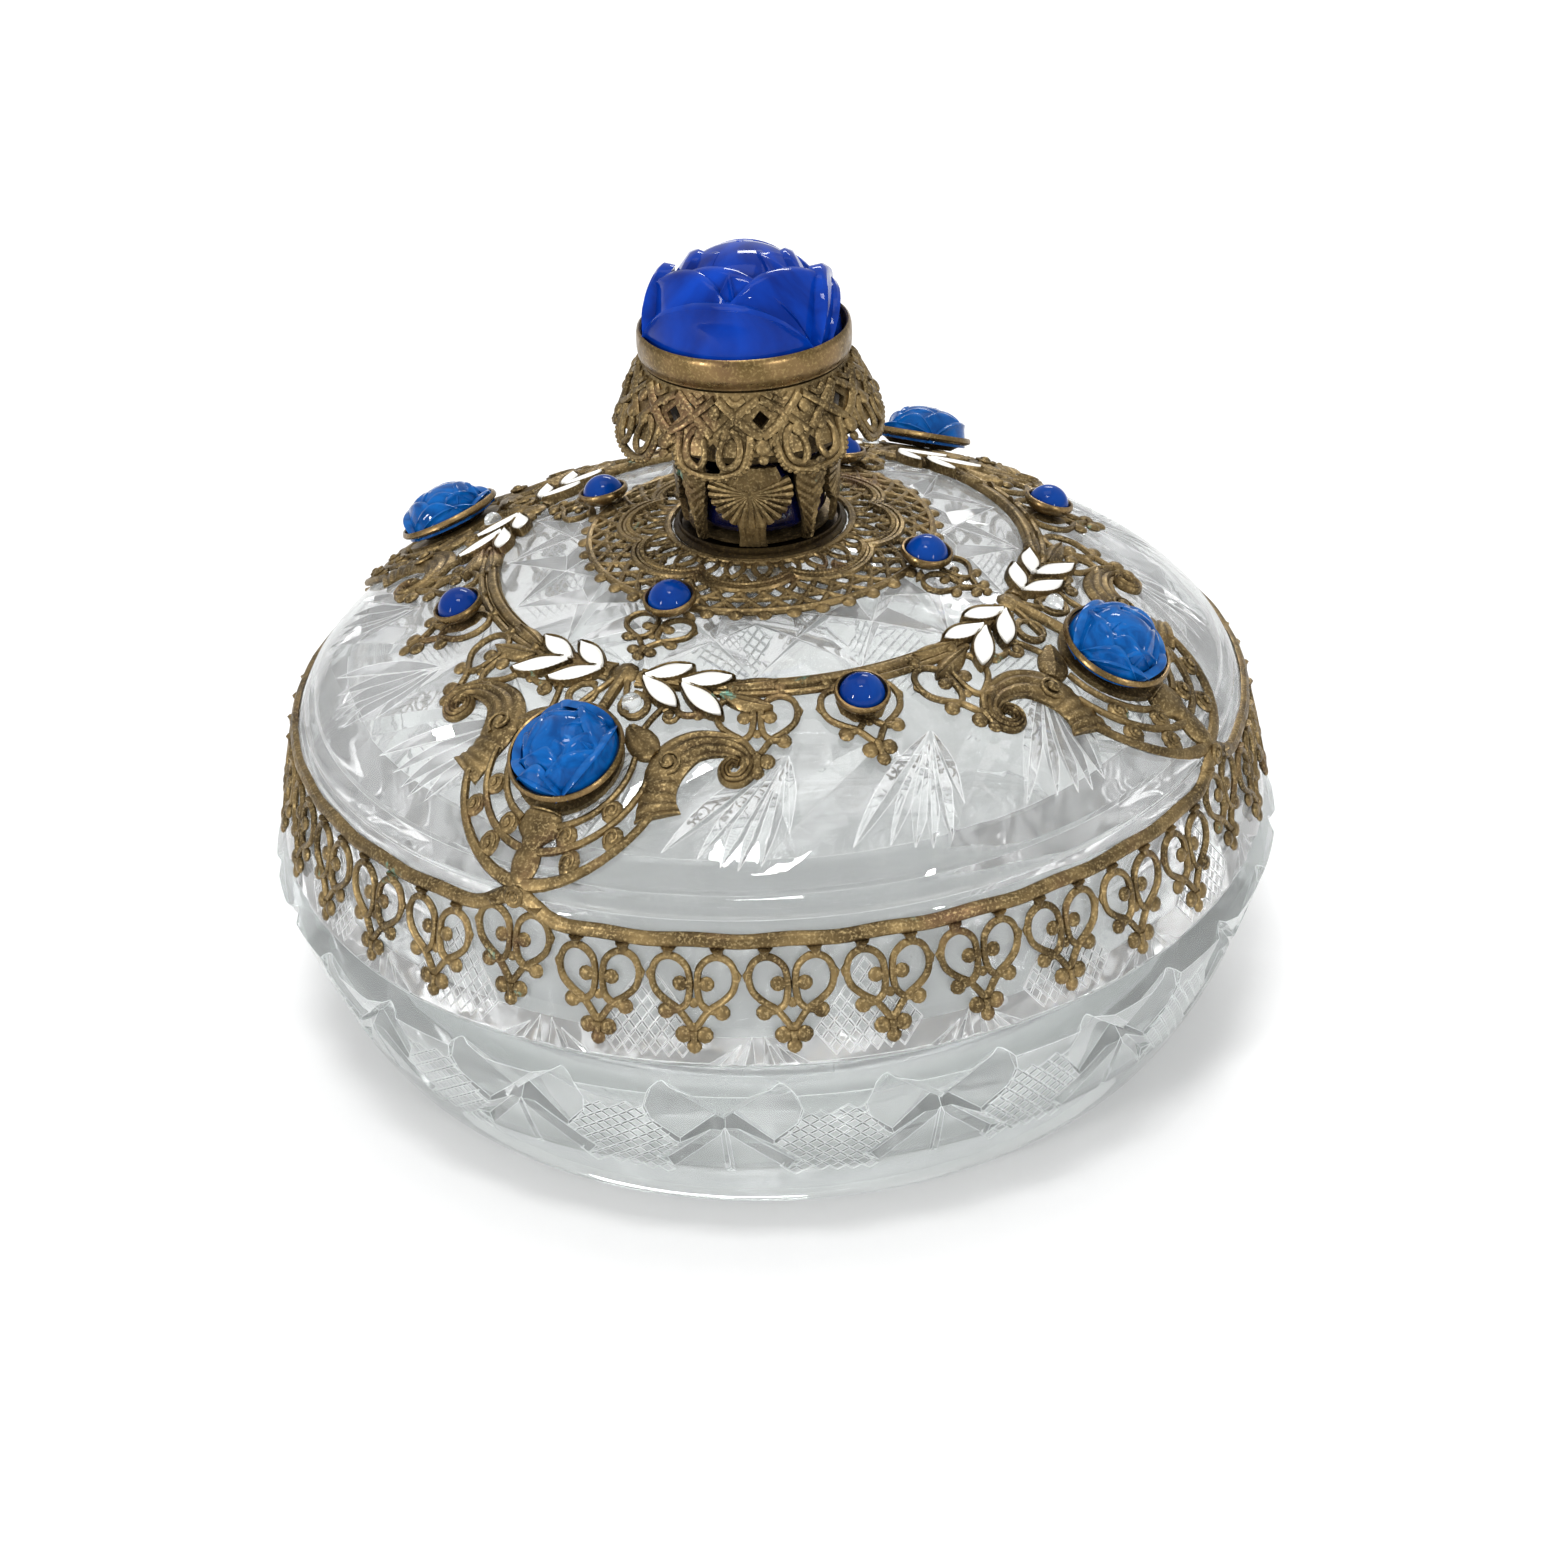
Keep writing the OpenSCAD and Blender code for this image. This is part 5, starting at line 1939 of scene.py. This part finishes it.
@dataclass
class Knob:
    """The knob: collar, shell cup, bead, openwork skirt round a sleeve, bezel and the large carved rose."""

    shift: float = -0.8
    collar_r: float = 11.0
    collar_top: float = 67.1
    cup_z: float = 66.25
    cup_foot_r: float = 9.2
    cup_r: float = 10.6
    cup_h: float = 11.0
    bead_z: float = 67.0
    bead_r: float = 8.5
    bead_h: float = 8.4
    plate_z: float = 87.0
    skirt_z: float = 84.0
    skirt_top_r: float = 12.6
    skirt_low_r: float = 16.2
    lobes: int = 8
    lobe_az: float = -16.5
    bezel_z: float = 87.95
    bezel_r: float = 13.1
    bezel_h: float = 3.95
    stone_r: float = 12.35
    stone_foot: float = 90.6
    stone_top: float = 101.85
    shell_az: float = -6.0
    shells: int = 4
    bolt_hole_r: float = 1.75
    bead_round: float = 1.8
    tube_hole_r: float = 3.2
    sleeve_r: float = 11.2
    sleeve_z: float = 78.0
    sleeve_wall: float = 0.6

    def aside(self, piece: Shape, up: float = 0.0) -> Shape:
        """Moves a piece of the head off the box's axis, because the knob leans, and up."""
        return placed(piece, lambda p: Vector((p.x + self.shift, p.y, p.z + up)))

    def collar(self) -> None:
        """A shallow dish with a rolled lip that follows the dome underneath."""
        r, top = self.collar_r - 0.05, self.collar_top - 0.25
        under = [(s, BOX.dome_z + BOX.rise(s) + 0.2) for s in (0, 4, 8, r - 0.2)]
        outline = [(0, under[0][1]), *under[1:], (r, top - 1.6), (r - 0.2, top - 1.35), (r - 0.6, top - 1.15),
                   (r - 0.62, top - 0.7), (r - 0.8, top - 0.55), (r - 1.0, top - 0.75), (r - 1.1, top - 1.35),
                   (0, top - 1.35)]
        # The dish takes the darker copy of the brass, as painted shade.
        dressed("knob_collar_dish", [spun("collar", outline, 128)], Look.SHADED_BRASS, ["knob_collar"])

    def cup_radius(self, z: float) -> float:
        """Radius of the shell cup at height z."""
        t = (z - self.cup_z) / self.cup_h
        return self.cup_foot_r + (self.cup_r - self.cup_foot_r) * t ** 0.8 if t > 0 else self.cup_foot_r

    def shell(self) -> Shape:
        """A shell: ribs that fan out from its middle, over a short fluted foot.

        Returns:
            The flat pattern.
        """
        parts, rim, centre = [], [], (0.0, 7.3)
        ribs, share, back = 17, 0.55, -0.45
        for i in range(ribs):
            a = math.radians(-112 + 224 * i / (ribs - 1))
            tip = (4.7 * math.sin(a), centre[1] - 4.6 * math.cos(a))
            rim.append(tip)
            parts.append(wire((centre, (tip[0] * share, centre[1] + (tip[1] - centre[1]) * share), tip), 0.52,
                              steps=2, z=0.0, radii=(0.25, 0.75, 1.0)))
        low = ribs + 1
        faces = [(0, i, i + 1) for i in range(1, ribs)]
        faces += [(low, low + 1 + i, low + i) for i in range(1, ribs)]
        faces += [(i, low + i, low + 1 + i, i + 1) for i in range(1, ribs)]
        faces += [(0, low, low + 1, 1), (0, ribs, low + ribs, low)]
        plate = mesh_piece("plate", [(*centre, 0.25), *((x, y, 0.05) for x, y in rim), (*centre, back),
                                     *((x, y, back) for x, y in rim)], faces)
        foot = ribbon([(0, -0.1, 1.75), (0, 1.2, 1.55), (0, 2.6, 1.6), (0, 4.0, 2.0)],
                      lambda t, w: 0.25 + 0.12 * math.cos(5 * math.pi * w), back, 14)
        head = ribbon([(0, 7.0, 3.9), (0, 9.0, 3.6), (0, 10.9, 2.9)],
                      lambda t, w: 0.1 + 0.12 * math.cos(7 * math.pi * w), back, 20)
        return joined("shell", [*parts, plate, foot, head])

    def narrow_leaf(self) -> Shape:
        """A narrow leaf with slanting veins, between two shells.

        Returns:
            The flat pattern.
        """
        def top(t: float, w: float) -> float:
            """Veined like a leaf."""
            return 0.2 + 0.35 * (1 - abs(w)) + 0.14 * math.cos(2 * math.pi * (9 * t - 1.6 * abs(w)))

        line = eased([(0, -0.1, 0.7), (0, 2.5, 0.9), (0, 5.5, 1.6), (0, 8.2, 2.1), (0, 10.9, 1.9)], 10)
        return ribbon(line, top, -0.45, 12)

    def cup(self) -> None:
        """The cup of four shells and four narrow leaves on a small dish."""
        wrap = on_wall(0, self.cup_z, self.cup_radius)
        step, z, top = 360 / self.shells, self.cup_z, self.cup_z + 0.5
        parts = spread(placed(self.shell(), wrap), self.shells, step, self.shell_az)
        parts += spread(placed(self.narrow_leaf(), wrap), self.shells, step, self.shell_az + step / 2)
        dish = spun("dish", [(2.0, z), (8.9, z), (9.1, top), (2.0, top)], 64)
        piece = tidy_normals(joined("shell_cup", [*parts, dish]))
        dressed("shell_cup", [piece], Look.BRASS, ["leaf_cup"])

    def bead(self) -> None:
        """The dark bead, flattened, with a hole for the bolt."""
        r, hole, z, top = self.bead_round, self.bolt_hole_r, self.bead_z, self.bead_z + self.bead_h
        side = [(self.bead_r - r + r * math.cos(a), (z + r if a < 0 else top - r) + r * math.sin(a))
                for a in (math.radians(-90 + 15 * i) for i in range(13))]
        dressed("dark_glass_bead", [spun("bead", [(hole, z), *side, (hole, top)], 96)], Look.BEAD,
                ["knob_bead"], "dark_bead")

    def skirt_radius(self, z: float) -> float:
        """Radius of the openwork skirt at height z.

        Args:
            z: Height.

        Returns:
            The radius.
        """
        high, low = self.plate_z + 0.6, 80.0
        t = min(max((high - z) / (high - low), 0.0), 1.0)
        return self.skirt_top_r + (self.skirt_low_r - self.skirt_top_r) * t ** 0.85

    def lobe(self) -> Shape:
        """One eighth of the skirt: hanging loops with a beaded edge, wires and bosses.

        Returns:
            The flat pattern.
        """
        rim = ((-4.3, -0.6), (-4.0, -2.8), (-2.9, -4.7), (0, -5.5), (2.9, -4.7), (4.0, -2.8), (4.3, -0.6))
        parts = [wire(rim, 0.5, z=0.1)]
        for p in eased(rim, 4)[2:-2]:
            parts.append(ball((p.x * 1.06, p.y * 1.03 - 0.1, 0.35), 0.33, 8))
        loop = ((2.2, -0.2), (3.1, -1.6), (2.8, -3.5), (1.5, -4.3), (0.8, -3.1), (1.1, -1.4))
        half = [wire(loop, 0.42, True, 3, 0.1),
                wire(((5.6, 3.1), (3.6, 2.0), (1.5, 0.3), (0.3, -0.8)), 0.48, z=0.15),
                wire(((0.2, 3.1), (2.2, 1.6), (4.2, -0.1), (5.6, -0.9)), 0.48, z=0.2),
                wire(((1.6, 3.2), (2.6, 2.6), (3.8, 3.2)), 0.35, z=0.15),
                bead(1.5, -0.5, 0.75, 0.35, 0.7), bead(2.9, 1.0, 0.6, 0.4, 0.7),
                bead(4.2, 2.2, 0.55, 0.3, 0.7)]
        middle = [bead(0, 1.8, 0.8, 0.4, 0.7), bead(5.6, -1.9, 0.95, 0.35, 0.7),
                  bead(5.6, -3.3, 0.6, 0.3, 0.7),
                  wire(((4.4, -1.2), (5.6, -2.6), (6.8, -1.2)), 0.42, z=0.1)]
        return joined("lobe", [*parts, *both(half), *middle])

    def skirt(self) -> None:
        """The openwork skirt under the bezel."""
        zs = (self.plate_z + 0.7, 86, 84.5, 83, 81.6, 80.9)
        high, low, step = self.plate_z + 0.75, self.plate_z + 0.05, 360 / self.lobes
        outer = [(self.skirt_radius(z) - 0.1, z) for z in zs]
        inner = [(self.skirt_radius(z) - 0.75, z) for z in reversed(zs[1:])]
        shell = spun("skirt_shell", [(self.tube_hole_r, high), *outer, *inner, (self.skirt_top_r - 0.8, low),
                                     (self.tube_hole_r, low)], 128)
        for y, shift, size in ((0.8, 0.5, 1.05), (-2.6, 0.0, 1.0)):
            clear_bench()
            bpy.ops.mesh.primitive_cylinder_add(vertices=4, radius=size, depth=8,
                                                location=(0, -15, self.skirt_z + y),
                                                rotation=(math.pi / 2, 0, 0))
            carve(shell, joined("holes", spread(applied(), self.lobes, step, self.lobe_az + shift * step)))
        lobe = placed(self.lobe(), on_wall(0, self.skirt_z, self.skirt_radius))
        parts = [shell, *spread(lobe, self.lobes, step, self.lobe_az)]
        piece = self.aside(tidy_normals(joined("openwork_skirt", parts)))
        dressed("openwork_skirt", [piece], Look.BRASS, ["knob_skirt"])

    def sleeve(self) -> None:
        """A tube of painted shade inside the skirt: darker brass that closes the view through its holes,
        where there is only shadow.
        """
        z, top, r, inner = self.sleeve_z, self.plate_z, self.sleeve_r, self.sleeve_r - self.sleeve_wall
        wall = spun("sleeve", [(r, z), (r, top), (inner, top), (inner, z)], 64)
        placed(wall, lambda p: Vector((p.x + self.shift * (p.z - z) / (top - z), p.y, p.z)))
        dressed("shade_sleeve", [wall], Look.SHADED_BRASS, [])

    def bezel(self) -> None:
        """The polished band round the stone."""
        r, z, h = self.bezel_r, self.bezel_z, self.bezel_h
        outline = [(0, z), (r - 0.9, z), (r - 0.35, z + 0.15), (r - 0.3, z + 0.5), (r - 0.08, z + 0.8),
                   (r, z + 1.6), (r - 0.02, z + h - 0.8), (r - 0.15, z + h - 0.2), (r - 0.4, z + h),
                   (r - 0.62, z + h - 0.2), (r - 0.65, z + 0.7), (0, z + 0.7)]
        dressed("knob_band", [self.aside(spun("band", outline, 160))], Look.WORN_BRASS, ["knob_bezel"])

    def flower(self) -> None:
        """The large carved rose."""
        rose = Carving(self.stone_r, self.stone_top - self.stone_foot, 2.4, PETALS).made("knob_flower")
        self.aside(rose, self.stone_foot)
        dressed("knob_flower", [rose], Look.KNOB, ["knob_rose"], "knob_stone", STONE_EDGE)

    def build(self) -> None:
        """Builds the knob from the glass up."""
        for make in (self.collar, self.cup, self.bead, self.sleeve, self.skirt, self.bezel, self.flower):
            make()


# ---- CAD nodes that keep their shape ----


@dataclass
class PlainNodes:
    """The CAD nodes whose shape is right as it is, with their finishes."""

    finishes: tuple[tuple[str, Look], ...] = (
        ("bowl", Look.BOWL), ("lid_glass", Look.LID), ("crystals", Look.CRYSTAL),
        ("enamel_leaves", Look.ENAMEL), ("knob_bead", Look.BEAD), ("knob_rose", Look.KNOB),
        ("rose_stone_", Look.ROSE), ("outer_stone_", Look.ROUND), ("inner_stone_", Look.ROUND),
        ("knob_washer", Look.STEEL), ("", Look.BRASS))

    def dress(self) -> None:
        """Gives every CAD node its finish."""
        for name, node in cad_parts.items():
            look = next(look for start, look in self.finishes if name.startswith(start))
            node.data.materials.clear()
            node.data.materials.append(look.value.made())
            LOG.info("%s: %s", name, look.name)


# ---- The room ----


@dataclass
class Studio:
    """A pale table, a soft white room and the camera."""

    eye: tuple[float, float, float] = (0.0, -297.68, 205.92)
    pitch: float = 0.5384
    roll: float = -0.0507
    lens: float = 60.54
    table_size: float = 12.0
    glow: tuple[tuple[float, tuple[float, float, float, float]], ...] = (
        (0.0, (0.58, 0.59, 0.60, 1)), (0.2, (0.70, 0.71, 0.72, 1)), (0.5, (0.86, 0.86, 0.86, 1)),
        (1.0, (1.0, 1.0, 1.0, 1)))
    lamps: tuple[tuple[str, tuple[float, float, float], Point, float], ...] = (
        ("window_left", (-1.45, -1.3, 0.55), (0.09, 0.5), 17.0),
        ("window_right", (1.1, -1.6, 0.55), (0.07, 0.45), 11.0),
        ("overhead", (0.0, 0.4, 2.6), (1.4, 1.1), 8.0),
        ("skylight", (-0.1, -0.55, 2.0), (0.5, 0.26), 13.0),
        ("window_back", (0.35, 1.9, 1.35), (0.8, 0.25), 13.0))

    def camera(self) -> None:
        """The camera at the photograph's place."""
        data = bpy.data.cameras.new("camera")
        data.lens, data.sensor_width = self.lens, 36.0
        data.clip_start, data.clip_end = 0.01, 100.0
        shot = put("camera", data)
        ahead = Vector((0, math.cos(self.pitch), -math.sin(self.pitch)))
        right = Vector((1, 0, 0))
        up = right.cross(ahead)
        side = right * math.cos(self.roll) + up * math.sin(self.roll)
        top = up * math.cos(self.roll) - right * math.sin(self.roll)
        turn = Matrix((side, top, -ahead)).transposed().to_4x4()
        shot.matrix_world = Matrix.Translation(Vector(self.eye) * MM) @ turn
        bpy.context.scene.camera = shot

    def table(self) -> None:
        """A wide pale floor under the box."""
        clear_bench()
        bpy.ops.mesh.primitive_plane_add(size=self.table_size, location=(0, 0, -0.05 * MM))
        floor = applied()
        floor.name = "table"
        floor.data.materials.append(Look.TABLE.value.made())

    def sky(self) -> None:
        """A white room that is darker towards the horizon."""
        world = bpy.data.worlds.new("room")
        bpy.context.scene.world = world
        world.use_nodes = True
        tree = world.node_tree
        tree.nodes.clear()
        way = add(tree, "ShaderNodeTexCoord").outputs["Generated"]
        height = add(tree, "ShaderNodeSeparateXYZ", {0: way}).outputs["Z"]
        light = add(tree, "ShaderNodeBackground", {"Color": ramp(tree, height, self.glow), "Strength": 0.92})
        out = add(tree, "ShaderNodeOutputWorld")
        tree.links.new(light.outputs[0], out.inputs["Surface"])

    def lamp(self, name: str, place: tuple[float, float, float], size: Point, watts: float) -> None:
        """A soft oblong lamp that faces the box.

        Args:
            name: Its name.
            place: Where it stands, in metres.
            size: Its width and height in metres.
            watts: Its power.
        """
        data = bpy.data.lights.new(name, "AREA")
        data.shape, data.size, data.size_y, data.energy = "RECTANGLE", size[0], size[1], watts
        light = put(name, data)
        light.location = place
        aim = Vector((0, 0, 0.04)) - Vector(place)
        light.rotation_euler = aim.to_track_quat("-Z", "Y").to_euler()

    def build(self) -> None:
        """Sets up the whole room."""
        self.camera()
        self.table()
        self.sky()
        for lamp in self.lamps:
            self.lamp(*lamp)
        scene = bpy.context.scene
        scene.view_settings.view_transform = "Standard"
        scene.view_settings.look = "None"


def main() -> None:
    """Builds the room and every piece, and reports them."""
    logging.basicConfig(level=logging.INFO, format="%(message)s")
    Studio().build()
    PlainNodes().dress()
    for maker in (CutBowl, CutLid, Fringe, RoseMount, RoseStones, SmallStones, Ring, Sprays, Rosette, Knob):
        maker().build()


if __name__ == "__main__":
    main()
